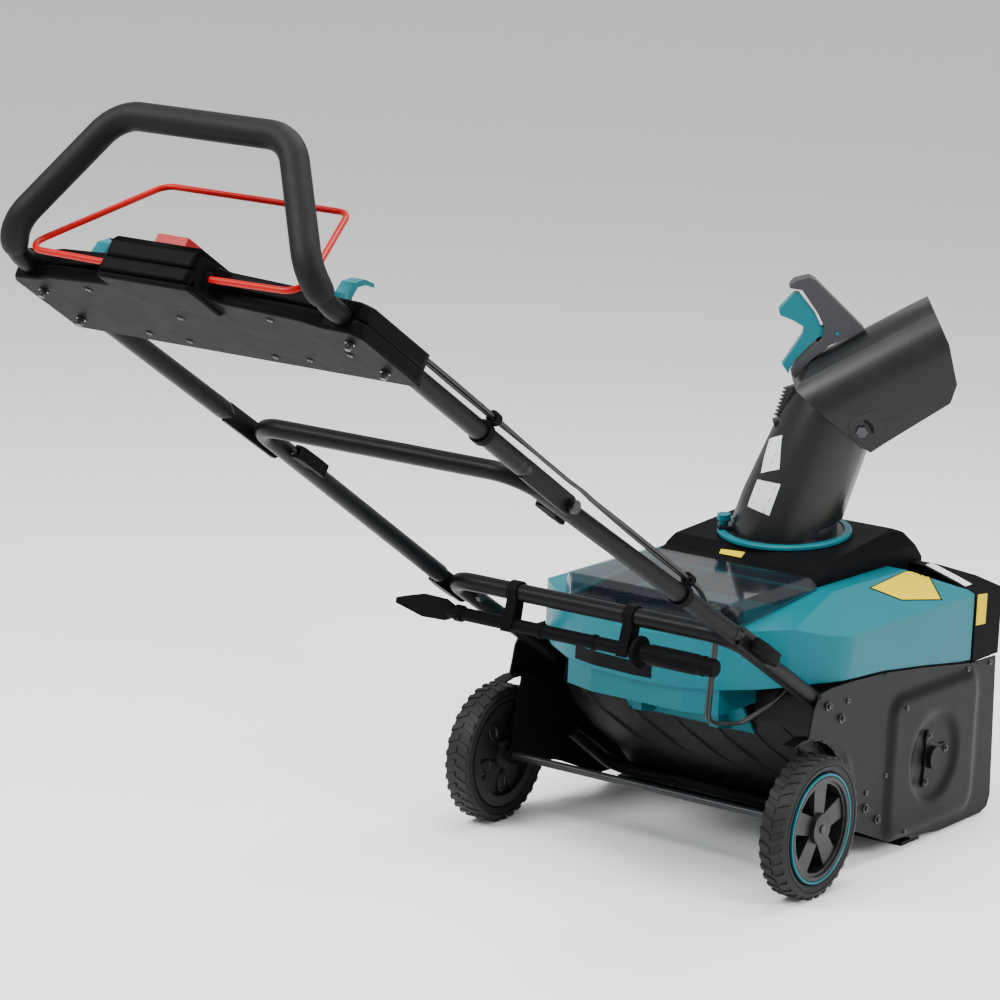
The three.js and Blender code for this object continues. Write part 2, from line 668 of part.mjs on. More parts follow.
// console outlines are (X, distance along the handle); depth runs towards the underside
const consolePlan = (d) => mirrored([
  [0, 410 + d], [262 - d, 410 + d], [266 - d, 420 + d], [266 - d, 548 - d], [256 - d, 562 - d],
  [216, 566 - d],
  [190, 577 - d], [84, 590 - d], [73 - d, 600 - d], [73 - d, 628 - d], [64, 638 - d], [0, 638 - d],
]);
const tubeBores = [1, -1].map((side) => {
  const bore = prismZ(disc(side * UP_X, 0, 13.05, 20), 380, 640);
  const turn = new THREE.Matrix4().makeBasis(
    X,
    new THREE.Vector3(0, ...upNormal),
    new THREE.Vector3(0, ...upDir),
  );
  turn.setPosition(0, ...HINGE2);
  // (x, normal, along) is left handed with X, so mirror it back before placing
  return place(bore.mirror([1, 0, 0]), turn.multiply(new THREE.Matrix4().makeScale(-1, 1, 1)));
});
const consoleCavity = mirrored([
  [0, 413], [219, 413], [219, 556], [188, 566], [82, 580], [62, 594], [62, 630], [0, 630],
]);
const BAIL_S = 611;
const bailBore = rodX(...upAt(BAIL_S), 4.5, 36, 80, 16);
const LEVER_X = 187;
const leverBores = [-1, 1].map((side) => (
  rodX(...upAt(502), 8, side * LEVER_X - 13, side * LEVER_X + 13, 16)
));
const lowerShell = cut(
  place(join(
    prismZ(consolePlan(0), 0.2, 19),
    prismZ(mirrored([[0, 560], [70, 560], [70, 634], [0, 634]]), 10, 26),
  ), consoleFrame),
  place(prismZ(consoleCavity, -3, 16.4), consoleFrame),
  ...tubeBores,
  bailBore,
  bailBore.mirror([1, 0, 0]),
  ...leverBores,
);
add('console_lower', lowerShell, BLACK, 0.55);
const leverSlots = [-1, 1].map((side) => place(
  box(side * LEVER_X - 13, side * LEVER_X + 13, 468, 538, -40, 30),
  consoleFrame,
));
const upperShell = cut(
  place(join(
    prismZ(consolePlan(1.5), -22, -0.2),
    prismZ(mirrored([[0, 560], [66, 560], [66, 630], [0, 630]]), -29, -10),
  ), consoleFrame),
  place(prismZ(consoleCavity, -19.4, 3), consoleFrame),
  ...leverSlots,
  place(box(-26, 26, 578, 614, -60, -10), consoleFrame),
  ...tubeBores,
  bailBore,
  bailBore.mirror([1, 0, 0]),
);
add('console_upper', upperShell, BLACK, 0.55);
add('start_button', place(join(
  prismZ([[-24, 580], [24, 580], [24, 612], [-24, 612]], -37, -21),
  prismZ([[-12, 588], [12, 588], [12, 604], [-12, 604]], -24, -8),
), consoleFrame), RED, 0.45);
const leverSide = [
  [498, 4], [506, 4], [508, -20], [516, -44], [512, -60], [496, -72], [478, -75], [475, -71],
  [492, -67],
  [504, -58], [507, -44], [499, -20],
];
const LEVER_PIVOT = [502, 0];
function lever(side) {
  const frame = new THREE.Matrix4().makeBasis(
    new THREE.Vector3(0, ...upDir),
    new THREE.Vector3(0, ...upNormal).negate(),
    X,
  );
  frame.setPosition(side * LEVER_X - 10, ...HINGE2);
  const body = extrude(leverSide, 20, frame);
  const centre = upAt(LEVER_PIVOT[0], -LEVER_PIVOT[1]);
  return join(body, rodX(...centre, 5, side * LEVER_X - 12, side * LEVER_X + 12, 16));
}
add('lever_right', lever(1), TEAL, 0.4);
add('lever_left', lever(-1), TEAL, 0.4);

const bailPath = rounded([
  [40, ...upAt(BAIL_S)], [90, ...upAt(BAIL_S)], [212, ...upAt(BAIL_S + 2, 1)], [140, -929, 1028],
  [-140, -929, 1028], [-212, ...upAt(BAIL_S + 2, 1)], [-90, ...upAt(BAIL_S)], [-40, ...upAt(BAIL_S)],
], [30, 20, 22, 22, 20, 30], 4);
add('bail', sweep(bailPath, disc(0, 0, 4, 10)), RED, 0.4);

// ---- hinge hardware ---------------------------------------------------------------------------
const bolt1 = join(rodX(...HINGE1, 4, 222, 266, 14), rodX(...HINGE1, 8, 219, 226, 6));
const bolt2 = join(rodX(...HINGE2, 4, 197, 240, 14), rodX(...HINGE2, 9, 238.8, 247, 18));
add('hinge_bolt_low_right', bolt1, ZINC, 0.35, 0.8);
add('hinge_bolt_low_left', bolt1.mirror([1, 0, 0]), ZINC, 0.35, 0.8);
add('hinge_bolt_up_right', bolt2, ZINC, 0.35, 0.8);
add('hinge_bolt_up_left', bolt2.mirror([1, 0, 0]), ZINC, 0.35, 0.8);
// a cam lever lies in the (X, distance along the mid frame) plane; its forked nose straddles the bolt
const camFrame = new THREE.Matrix4().makeBasis(
  X,
  new THREE.Vector3(0, ...midDir),
  new THREE.Vector3(0, ...midNormal).negate(),
);
camFrame.setPosition(0, ...HINGE1);
const HINGE_SPAN = Math.hypot(HINGE2[0] - HINGE1[0], HINGE2[1] - HINGE1[1]);
const camLever = (outline, slot) => place(
  cut(prismZ(outline, -9, 9), box(...slot, -4.4, 4.4)),
  camFrame,
);
const camLow = camLever(
  [...arc(268, 0, 8, 180, 360, 8), [276, 40], [273, 62], [264.5, 62], [264.5, 34], [260, 30]],
  [256, 272.3, -10, 4.3],
);
const camUp = camLever(
  [
    ...arc(195, HINGE_SPAN, 8.3, 0, 180, 8), [186.7, 500], [189, 476], [196, 476], [196, 504],
    [203.3, 508],
  ],
  [190.7, 207, HINGE_SPAN - 4.3, HINGE_SPAN + 10],
);
add('cam_lever_low_right', camLow, BLACK, 0.4);
add('cam_lever_low_left', camLow.mirror([1, 0, 0]), BLACK, 0.4);
add('cam_lever_up_right', camUp, BLACK, 0.4);
add('cam_lever_up_left', camUp.mirror([1, 0, 0]), BLACK, 0.4);

// ---- cleaning tool and its clips -----------------------------------------------------------------
const TOOL = [-191, 354];
const toolClip = (x) => {
  const dy = LOW_TOP[0] - TOOL[0];
  const dz = LOW_TOP[1] - TOOL[1];
  const l = Math.hypot(dy, dz);
  const u = [dy / l, dz / l];
  const v = [-u[1], u[0]];
  const at = (a, b) => [TOOL[0] + u[0] * a + v[0] * b, TOOL[1] + u[1] * a + v[1] * b];
  return cut(
    join(
      rodX(...LOW_TOP, 16, x - 8, x + 8, 24),
      prismX([at(-11, -13), at(l - 8, -10), at(l - 8, 10), at(-11, 13)], x - 8, x + 8),
    ),
    rodX(...LOW_TOP, 13.05, x - 20, x + 20, 20),
    prismX([at(-30, -9.9), at(0, -9.9), at(0, 9.9), at(-30, 9.9)], x - 20, x + 20),
    rodX(...TOOL, 9.9, x - 20, x + 20, 20),
  );
};
add('tool_clip_left', toolClip(-118), BLACK, 0.5);
add('tool_clip_right', toolClip(76), BLACK, 0.5);
const toolBlade = prismZ([
  [-318, TOOL[0] - 3], [-318, TOOL[0] + 3], [-218, TOOL[0] + 4], [-218, TOOL[0] - 4],
], 330, 380).intersect(prismY([
  [-319, 349], [-319, 358], [-270, 372], [-216, 370], [-216, 339], [-270, 337],
], -260, -120));
add('cleaning_tool', join(
  rodX(...TOOL, 9.5, -222, 100, 14),
  toolBlade,
  rodX(...TOOL, 12, -212, -200, 14),
  rodX(...TOOL, 23, 94, 101, 18),
  rodX(...TOOL, 12, 100, 114, 14),
  rodX(...TOOL, 14.5, 113, 196, 16),
  rodX(...TOOL, 13, 195, 222, 14),
), BLACK, 0.5);

// ---- chute ------------------------------------------------------------------------------------------
const chutePlace = chuteFrame.clone().multiply(new THREE.Matrix4().makeRotationZ(CHUTE_TURN));
const LEAN = 21.1 * Math.PI / 180;
const MITRE = 36 * Math.PI / 180;
const chuteOuter = loft([
  [0, 0, 0, 78, 78], [0, 20, 0, 78, 78], [12, 44, LEAN * 0.7, 77, 77], [61, 168, LEAN * 1.2, 69, 70],
  [78, 197, MITRE, 66, 68],
]);
const chuteInner = loft([
  [0, -6, 0, 75, 75], [0, 20, 0, 75, 75], [12, 44, LEAN * 0.7, 74, 74], [61, 168, LEAN * 1.2, 66, 67],
  [82, 206, MITRE, 62.5, 64.5],
]);
const PIVOT = [104, 172];
const KNOB_Y = -89.5;
const rackTeeth = [];
for (let i = 0; i < 8; i += 1) {
  const z = 176 + i * 5.6;
  const y = -14 + (z - 176) * 0.33;
  rackTeeth.push([y + 4, z], [y - 3.5, z + 3.4]);
}
const rack = prismX([...rackTeeth, [12, 224], [2, 172]], -5, 5);
const rackFoot = prismX([[-20, 170], [-4, 176], [10, 168], [-4, 150], [-12, 152]], -11, 11);
const mountEars = join(
  rodX(...PIVOT, 13, 40, 68.6, 20),
  rodX(...PIVOT, 13, -68.6, -40, 20),
);
add('chute_tube', place(cut(
  join(
    rodZ(0, 0, 87, 0, 5, 32),
    box(-12, 12, -100, -76, 7, 12).intersect(rodZ(0, 0, 99.5, -5, 20, 36)),
    chuteOuter,
    mountEars,
    rack,
    rackFoot,
  ),
  chuteInner,
  rodX(...PIVOT, 4.3, -100, 100, 14),
  rodZ(0, KNOB_Y, 4.3, -10, 20, 14),
), chutePlace), BLACK, 0.4);
add('lock_knob', place(join(
  rodZ(0, KNOB_Y, 4, 7, 14, 14),
  rodZ(0, KNOB_Y, 6.5, 12.4, 20, 14),
  prismZ(disc(0, KNOB_Y, 10.5, 10), 19, 28),
), chutePlace), TEAL, 0.4);

const DEF_AXIS = 28 * Math.PI / 180;
const defSide = [
  [9.5, 228], [34.4, 262], [62, 284], [110.4, 305.5], [206, 349], [228, 300], [241, 240], [232, 212.5],
  [140, 154.3], [117.8, 139.2], [100, 151],
];
const defInnerSide = [
  [0, 210], [13.5, 227], [37, 258.6], [64, 280.6], [112, 301.9], [203, 343.5], [260, 368],
  [300, 240],
  [260, 150], [117.8, 110], [60, 150],
];
function archAlong(r, top) {
  const section = [[-r, -120], [r, -120], ...arc(0, 0, r, 0, 180, 20)];
  const frame = new THREE.Matrix4().makeBasis(
    X,
    new THREE.Vector3(0, -Math.sin(DEF_AXIS), Math.cos(DEF_AXIS)),
    new THREE.Vector3(0, -Math.cos(DEF_AXIS), -Math.sin(DEF_AXIS)),
  );
  const start = [206 + 40, 349 + 21 + top];
  frame.setPosition(0, start[0] + Math.sin(DEF_AXIS) * 72, start[1] - Math.cos(DEF_AXIS) * 72);
  return extrude(section, 320, frame);
}
const deflectorOuter = prismX(defSide, -72.2, 72.2).intersect(archAlong(72, 6));
const deflectorInner = prismX(defInnerSide, -69, 69).intersect(archAlong(69, 3.6));
add('deflector', place(cut(
  join(deflectorOuter, rodX(...PIVOT, 17, 71.9, 74, 24), rodX(...PIVOT, 17, -74, -71.9, 24)),
  deflectorInner,
  rodX(...PIVOT, 4.3, -100, 100, 14),
), chutePlace), BLACK, 0.4);
const pin = (side) => place(join(
  rodX(...PIVOT, 4, side > 0 ? 50 : -76, side > 0 ? 76 : -50, 14),
  rodX(...PIVOT, 9, side > 0 ? 74.3 : -80, side > 0 ? 80 : -74.3, 6),
), chutePlace);
add('deflector_bolt_right', pin(1), ZINC, 0.35, 0.8);
add('deflector_bolt_left', pin(-1), ZINC, 0.35, 0.8);

const gripSide = [
  [4, 376], [10, 382], [31, 387], [40, 382], [112, 308.5], [104, 303.8], [61.5, 285.2], [33.6, 263],
  [22, 248], [12, 236], [6, 243], [14, 262], [34, 282], [50, 296], [53, 312], [44, 332], [20, 368],
  [2, 371],
];
const TRIGGER_PIVOT = [72, 303];
const triggerSide = [
  [10, 363], [-13, 338], [-11, 330], [8, 322], [24, 312], [22, 300], [-7, 256], [2, 242], [4, 249],
  [12, 264], [31, 284], [46, 297.5], [72, 297], [79, 303], [72, 309], [49, 312], [40, 332], [17, 362],
];
const deckClear = prismX([[-30, 150], ...defSide.slice(0, 5), [240, 340], [200, 150]], -72, 72);
add('deflector_grip', place(cut(
  prismX(gripSide, -13, 13),
  prismX([[44, 286], [84, 292], [84, 314], [44, 345], [10, 362], [20, 345]], -8.8, 8.8),
  rodX(...TRIGGER_PIVOT, 3.3, -20, 20, 14),
  place(deckClear, new THREE.Matrix4().makeTranslation(0, 0, 0.5)),
), chutePlace), 0x4a4d52, 0.45);
add('deflector_trigger', place(join(
  prismX(triggerSide, -8.2, 8.2),
  rodX(...TRIGGER_PIVOT, 3, -13, 13, 14),
), chutePlace), TEAL, 0.4);

// ---- cables --------------------------------------------------------------------------------------------
const CABLE_R = 5.6;
const UP_CABLE = [UP_X + 10, 20.5];
const handleFrame = new THREE.Matrix4().makeBasis(
  X,
  new THREE.Vector3(0, ...upNormal),
  new THREE.Vector3(0, ...upDir).negate(),
);
handleFrame.setPosition(0, ...HINGE2);
const CLIP_UP_S = 230;
add('cable_clip_upper', place(cut(
  join(
    prismZ(disc(UP_X, 0, 15.6, 20), -CLIP_UP_S - 6, -CLIP_UP_S + 6),
    prismZ(disc(...UP_CABLE, 8.6, 16), -CLIP_UP_S - 6, -CLIP_UP_S + 6),
  ),
  prismZ(disc(UP_X, 0, 13.05, 20), -260, -200),
  prismZ(disc(...UP_CABLE, 6.1, 16), -260, -200),
), handleFrame), BLACK, 0.5);
const legX = (s) => 247 - (34 * (s - 78)) / 550;
const CLIP_S = 228;
const cx = legX(CLIP_S);
const MID_CABLE = [cx + 3, 22.5];
const midFrame = new THREE.Matrix4().makeBasis(
  X,
  new THREE.Vector3(0, ...midNormal),
  new THREE.Vector3(0, ...midDir).negate(),
);
midFrame.setPosition(0, ...HINGE1);
add('cable_clip_lower', place(cut(
  join(
    prismZ(disc(cx, 0, 16.4, 20), -CLIP_S - 6, -CLIP_S + 6),
    prismZ(disc(...MID_CABLE, 8.6, 16), -CLIP_S - 6, -CLIP_S + 6),
  ),
  prismZ(disc(cx, 0, 13.6, 20), -CLIP_S - 20, -CLIP_S + 20),
  prismZ(disc(...MID_CABLE, 6.1, 16), -CLIP_S - 20, -CLIP_S + 20),
), midFrame), BLACK, 0.5);
const cableRound = disc(0, 0, CABLE_R, 8);
// the cord is left open either side of the upper hinge, so that the handle can fold
const CORD_GAP = 32;
const upperCable = [
  [UP_CABLE[0], ...upAt(408, 20.5)],
  [UP_CABLE[0], ...upAt(90, 20.5)],
  [UP_CABLE[0] - 2, ...upAt(CORD_GAP, 21.5)],
];
add('cable_upper', sweep(rounded(upperCable, 120, 3), cableRound), RUBBER, 0.7);
const midCable = [
  [UP_CABLE[0] - 2, ...midAt(HINGE_SPAN - CORD_GAP, 21.5)],
  [MID_CABLE[0], ...midAt(CLIP_S + 90, 22.5)],
  [MID_CABLE[0], ...midAt(CLIP_S - 30, 22.5)], [cx - 13, ...midAt(146, 21)],
];
add('cable_middle', sweep(rounded(midCable, 60, 3), cableRound), RUBBER, 0.7);
const midEnd = new THREE.Vector3(...midCable[3]);
const midLast = midEnd.clone().sub(new THREE.Vector3(...midCable[2])).normalize();
const loopAt = (d) => midEnd.clone().addScaledVector(midLast, d).toArray();
const lowerCable = [
  loopAt(0.4), loopAt(36), [200, -162, 432], [186, -140, 402], [181, -132, 366],
  [168, -118, 300], [152, -96, 246],
  [172, -40, 238], [194, 8, 262], [196, 38, 279],
];
const lowerBends = [16, 14, 14, 20, 24, 26, 24, 18];
add('cable_lower', sweep(rounded(lowerCable, lowerBends, 3), cableRound), RUBBER, 0.7);

export default group;
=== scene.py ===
import json
import math

import bmesh
import bpy
from mathutils import Matrix, Vector
from mathutils.bvhtree import BVHTree

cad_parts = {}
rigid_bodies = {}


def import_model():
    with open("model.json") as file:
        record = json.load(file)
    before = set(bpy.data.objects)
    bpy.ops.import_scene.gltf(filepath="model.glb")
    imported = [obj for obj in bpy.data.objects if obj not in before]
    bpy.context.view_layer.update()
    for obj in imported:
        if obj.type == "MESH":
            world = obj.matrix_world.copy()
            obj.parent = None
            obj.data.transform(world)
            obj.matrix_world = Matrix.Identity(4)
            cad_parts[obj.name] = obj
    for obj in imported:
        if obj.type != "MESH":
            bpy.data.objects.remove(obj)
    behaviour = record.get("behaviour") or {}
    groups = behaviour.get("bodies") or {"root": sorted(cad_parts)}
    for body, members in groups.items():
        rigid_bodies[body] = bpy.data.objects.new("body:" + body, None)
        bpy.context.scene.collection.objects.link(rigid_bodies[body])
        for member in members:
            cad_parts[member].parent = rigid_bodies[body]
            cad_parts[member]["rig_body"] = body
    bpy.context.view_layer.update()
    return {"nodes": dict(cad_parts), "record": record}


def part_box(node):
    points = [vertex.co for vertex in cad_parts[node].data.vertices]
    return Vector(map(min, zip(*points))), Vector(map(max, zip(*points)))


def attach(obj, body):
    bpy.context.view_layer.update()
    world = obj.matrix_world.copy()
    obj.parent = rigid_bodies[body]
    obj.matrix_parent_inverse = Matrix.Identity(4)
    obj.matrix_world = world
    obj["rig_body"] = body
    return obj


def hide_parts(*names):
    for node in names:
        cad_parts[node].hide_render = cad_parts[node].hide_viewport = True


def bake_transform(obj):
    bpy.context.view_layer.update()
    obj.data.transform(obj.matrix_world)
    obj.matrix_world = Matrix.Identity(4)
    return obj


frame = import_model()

# ---- room ---------------------------------------------------------------
# A pale studio floor under a soft white dome, with one broad lamp over the operator's
# left shoulder, a weaker one off the right side and one hung high above the machine.


AXLE_MIDDLE_X, AXLE_MIDDLE_Y = 13, 291.5


def place(x, y, z):
    """A point in millimetres from the ground below the axle's middle, as metres in the model."""
    return Vector(((x + AXLE_MIDDLE_X) / 1000, (y + AXLE_MIDDLE_Y) / 1000, z / 1000))


camera_data = bpy.data.cameras.new("studio_camera")
camera_data.lens = 142.02
camera_data.sensor_width = 36
camera_data.clip_end = 60
camera = bpy.data.objects.new("studio_camera", camera_data)
camera_right = Vector((0.810706, 0.583803, 0.043932))
camera_up = Vector((-0.158941, 0.147252, 0.976245))
camera_turn = Matrix((camera_right, camera_up, camera_right.cross(camera_up))).transposed()
camera.matrix_world = Matrix.Translation((2.94791, -4.26558, 1.68671)) @ camera_turn.to_4x4()
bpy.context.scene.collection.objects.link(camera)
bpy.context.scene.camera = camera

floor_mesh = bpy.data.meshes.new("floor")
floor_mesh.from_pydata([(-30, -30, 0), (30, -30, 0), (30, 30, 0), (-30, 30, 0)], [], [(0, 1, 2, 3)])
floor = bpy.data.objects.new("floor", floor_mesh)
bpy.context.scene.collection.objects.link(floor)
floor_paint = bpy.data.materials.new("pale_floor")
floor_paint.use_nodes = True
floor_shader = floor_paint.node_tree.nodes["Principled BSDF"]
floor_shader.inputs["Base Color"].default_value = (0.93, 0.932, 0.935, 1)
floor_shader.inputs["Roughness"].default_value = 0.7
floor_mesh.materials.append(floor_paint)

dome = bpy.data.worlds.new("studio_dome")
dome.use_nodes = True
dome_light = dome.node_tree.nodes["Background"]
dome_light.inputs["Color"].default_value = (1, 1, 1, 1)
dome_light.inputs["Strength"].default_value = 0.75
bpy.context.scene.world = dome


def hang_lamp(name, spot, aim, size, watts):
    data = bpy.data.lights.new(name, "AREA")
    data.shape = "RECTANGLE"
    data.size, data.size_y = size
    data.energy = watts
    lamp = bpy.data.objects.new(name, data)
    lamp.location = spot
    lamp.rotation_euler = (Vector(aim) - Vector(spot)).to_track_quat("-Z", "Y").to_euler()
    bpy.context.scene.collection.objects.link(lamp)


hang_lamp("lamp_over_shoulder", (-1.4, -2.8, 3.4), (0, 0, 0.5), (1.8, 1.4), 260)
hang_lamp("lamp_side", (3.4, 0.4, 2.2), (0, 0.2, 0.4), (0.9, 1.8), 120)
hang_lamp("lamp_top", (0.2, 0.8, 3.4), (0, 0.2, 0.3), (1.6, 3.0), 150)

# ---- control cord ---------------------------------------------------------
# Two thin sheathed strands run side by side from the console, down the right hand
# legs in snap clips, bend round the upper hinge and loop into the back of the hood.


class Wire:
    """A node socket. Sums and products on it add the Math nodes that do them."""

    def __init__(self, board, socket):
        self.board = board
        self.socket = socket

    def math(self, operation, first, second):
        return self.board.node("ShaderNodeMath", {"operation": operation}, {0: first, 1: second})

    def __add__(self, other):
        return self.math("ADD", self, other)

    def __radd__(self, other):
        return self.math("ADD", other, self)

    def __sub__(self, other):
        return self.math("SUBTRACT", self, other)

    def __rsub__(self, other):
        return self.math("SUBTRACT", other, self)

    def __mul__(self, other):
        return self.math("MULTIPLY", self, other)

    def __rmul__(self, other):
        return self.math("MULTIPLY", other, self)


class Board:
    """A node tree being wired up, for a finish or for something that repeats."""

    def __init__(self, tree):
        self.tree = tree

    def node(self, kind, settings=None, inputs=None, output=0):
        made = self.tree.nodes.new(kind)
        for key, value in (settings or {}).items():
            if key == "stops":
                ramp = made.color_ramp
                while len(ramp.elements) < len(value):
                    ramp.elements.new(0.5)
                for stop, (position, shade) in zip(ramp.elements, value):
                    stop.position = position
                    stop.color = shade
            else:
                setattr(made, key, value)
        for key, value in (inputs or {}).items():
            if isinstance(value, Wire):
                self.tree.links.new(value.socket, made.inputs[key])
            elif value is not None:
                made.inputs[key].default_value = value
        return Wire(self, made.outputs[output])


class Finish(Board):
    """A surface finish: a shader whose grain and shade come from the piece's own place."""

    def __init__(self, name, roughness, metallic=0.0, coat=0.0, alpha=1.0, sheen=0.5, ior=1.5):
        self.material = bpy.data.materials.new(name)
        self.material.use_nodes = True
        super().__init__(self.material.node_tree)
        self.shader = self.tree.nodes["Principled BSDF"]
        self.shader.inputs["Roughness"].default_value = roughness
        self.shader.inputs["Metallic"].default_value = metallic
        self.shader.inputs["Coat Weight"].default_value = coat
        self.shader.inputs["Alpha"].default_value = alpha
        self.shader.inputs["Specular IOR Level"].default_value = sheen
        self.shader.inputs["IOR"].default_value = ior
        self.spot = self.node("ShaderNodeTexCoord", output="Object")

    def noise(self, scale, detail=2.0, stretch=None):
        spot = self.spot
        if stretch:
            spot = self.node("ShaderNodeMapping", None, {"Vector": spot, "Scale": stretch})
        return self.node("ShaderNodeTexNoise", None, {"Vector": spot, "Scale": scale, "Detail": detail})

    def blend_colors(self, share, first, second):
        return self.node("ShaderNodeMix", {"data_type": "RGBA"}, {0: share, 6: first, 7: second}, 2)

    def set(self, name, wire):
        self.tree.links.new(wire.socket, self.shader.inputs[name])

    def bump(self, height, depth, strength=1.0, under=None):
        return self.node("ShaderNodeBump", None, {
            "Height": height, "Distance": depth, "Strength": strength, "Normal": under,
        })


def shade(color, gain=1.0):
    return (color[0] * gain, color[1] * gain, color[2] * gain, 1)


def moulded(name, color, roughness, grain, depth, mottle=0.12, gloss_swing=0.12, **body):
    """Moulded or coated stock: a fine grain, a faint mottle, and rubbed, duller patches."""
    finish = Finish(name, roughness, **body)
    cloud = finish.noise(9, 4)
    fine = finish.noise(grain, 3)
    rub = finish.noise(38, 5)
    darker, lighter = shade(color, 1 - mottle), shade(color, 1 + mottle)
    finish.set("Base Color", finish.blend_colors(cloud, darker, lighter))
    finish.set("Roughness", (rub - 0.5) * gloss_swing + (fine - 0.5) * 0.06 + roughness)
    finish.set("Normal", finish.bump(fine, depth))
    return finish.material


cord_sheath = moulded("cord_sheath", (0.005, 0.0052, 0.006), 0.38, 900, 0.0001, sheen=0.3)

home_body = {n: b for b, ns in frame["record"]["behaviour"]["bodies"].items() for n in ns}
home_slot = {row["node"]: row["material_slot"] for row in frame["record"]["subparts"]}


def unit(vector):
    return Vector(vector).normalized()


def bend(corners, radii, steps=10):
    """Straight runs between corners, each corner rounded to its radius, in metres."""
    points = [Vector(c) for c in corners]
    route = [points[0]]
    for i in range(1, len(points) - 1):
        radius = (radii[i - 1] if isinstance(radii, (list, tuple)) else radii) / 1000
        run_in = unit(points[i] - points[i - 1])
        run_out = unit(points[i + 1] - points[i])
        turn = run_in.angle(run_out)
        if turn < 1e-4:
            route.append(points[i])
            continue
        start = points[i] - run_in * radius * math.tan(turn / 2)
        inward = unit(run_out - run_in * run_in.dot(run_out))
        for k in range(steps + 1):
            a = turn * k / steps
            route.append(start + inward * radius * (1 - math.cos(a)) + run_in * radius * math.sin(a))
    return route + [points[-1]]


def fair(route, spacing):
    """The same route with points at an even spacing, given in millimetres."""
    lengths = [0.0]
    for a, b in zip(route, route[1:]):
        lengths.append(lengths[-1] + (b - a).length)
    count = max(2, round(lengths[-1] * 1000 / spacing))
    points, k = [], 0
    for i in range(count + 1):
        want = lengths[-1] * i / count
        while k < len(route) - 2 and lengths[k + 1] < want:
            k += 1
        span = lengths[k + 1] - lengths[k]
        points.append(route[k].lerp(route[k + 1], (want - lengths[k]) / span if span else 0))
    return points


class Form:
    """The faces of one piece, gathered from tubes, turned shapes and plates."""

    def __init__(self):
        self.points = []
        self.faces = []

    def rings(self, rings, closed=False, caps=True):
        base, n = len(self.points), len(rings[0])
        for ring in rings:
            self.points.extend(ring)
        count = len(rings)
        for r in range(count if closed else count - 1):
            for i in range(n):
                a, b = base + r * n, base + ((r + 1) % count) * n
                self.faces.append((a + i, a + (i + 1) % n, b + (i + 1) % n, b + i))
        if caps and not closed:
            self.faces.append(tuple(base + i for i in reversed(range(n))))
            self.faces.append(tuple(base + (count - 1) * n + i for i in range(n)))
        return self

    def tube(self, route, radius, sides=28, side_hint=(1, 0, 0)):
        """A round bar along a route. radius may be one value or one for each point, in millimetres."""
        radii = radius if isinstance(radius, (list, tuple)) else [radius] * len(route)
        across = Vector(side_hint)
        rings = []
        for i, point in enumerate(route):
            ahead = unit(route[min(i + 1, len(route) - 1)] - route[max(i - 1, 0)])
            across = unit(across - ahead * across.dot(ahead))
            over = ahead.cross(across)
            rings.append([
                point + (across * math.cos(a) + over * math.sin(a)) * radii[i] / 1000
                for a in (2 * math.pi * k / sides for k in range(sides))
            ])
        return self.rings(rings)

    def turned(self, profile, centre, axis=(1, 0, 0), sides=48, closed=False):
        """A turned shape. profile is (radius, distance along the axis), in millimetres."""
        axis = unit(axis)
        across = unit(axis.orthogonal())
        over = axis.cross(across)
        rings = [[
            centre + axis * along / 1000
            + (across * math.cos(a) + over * math.sin(a)) * radius / 1000
            for a in (2 * math.pi * k / sides for k in range(sides))
        ] for radius, along in profile]
        return self.rings(rings, closed=closed)

    def plate(self, outline, thickness):
        """A flat plate. outline is a loop of points and thickness the vector to its other face."""
        return self.rings([list(outline), [p + thickness for p in outline]])

    def build(self, name, finish, body, slot, replaced=(), edge=0.0, smooth=34, steps=2):
        mesh = bpy.data.meshes.new(name)
        mesh.from_pydata([tuple(p) for p in self.points], [], self.faces)
        tidy = bmesh.new()
        tidy.from_mesh(mesh)
        bmesh.ops.remove_doubles(tidy, verts=tidy.verts, dist=1e-6)
        bmesh.ops.recalc_face_normals(tidy, faces=tidy.faces)
        tidy.to_mesh(mesh)
        tidy.free()
        return seat(name, mesh, finish, body, replaced, edge, smooth, steps)


def seat(name, mesh, finish, body, replaced=(), edge=0.0, smooth=34, steps=2):
    """Makes a mesh into a piece of the machine, with softened edges and its finish."""
    mesh.shade_smooth()
    mesh.set_sharp_from_angle(angle=math.radians(smooth))
    mesh.materials.clear()
    mesh.materials.append(finish)
    piece = bpy.data.objects.new(name, mesh)
    bpy.context.scene.collection.objects.link(piece)
    if edge:
        soften = piece.modifiers.new("softened_edges", "BEVEL")
        soften.width = edge / 1000
        soften.segments = steps
        soften.limit_method = "ANGLE"
        soften.angle_limit = math.radians(smooth)
        soften.harden_normals = True
    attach(piece, body)
    if replaced:
        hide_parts(*replaced)
    return piece


HINGE_LOW = (-120, 363.4)
HINGE_HIGH = (-581, 640)
HANDLE_TILT = math.radians(31.5)
HANDLE_RUN, HANDLE_RISE = -math.cos(HANDLE_TILT), math.sin(HANDLE_TILT)
FRAME_SPAN = math.hypot(HINGE_HIGH[0] - HINGE_LOW[0], HINGE_HIGH[1] - HINGE_LOW[1])
FRAME_RUN = (HINGE_HIGH[0] - HINGE_LOW[0]) / FRAME_SPAN
FRAME_RISE = (HINGE_HIGH[1] - HINGE_LOW[1]) / FRAME_SPAN


def on_handle(x, along, over=0):
    """A point on the upper handle: across, up it from its hinge, and off it, in millimetres."""
    return place(
        x,
        HINGE_HIGH[0] + HANDLE_RUN * along + HANDLE_RISE * over,
        HINGE_HIGH[1] + HANDLE_RISE * along - HANDLE_RUN * over,
    )


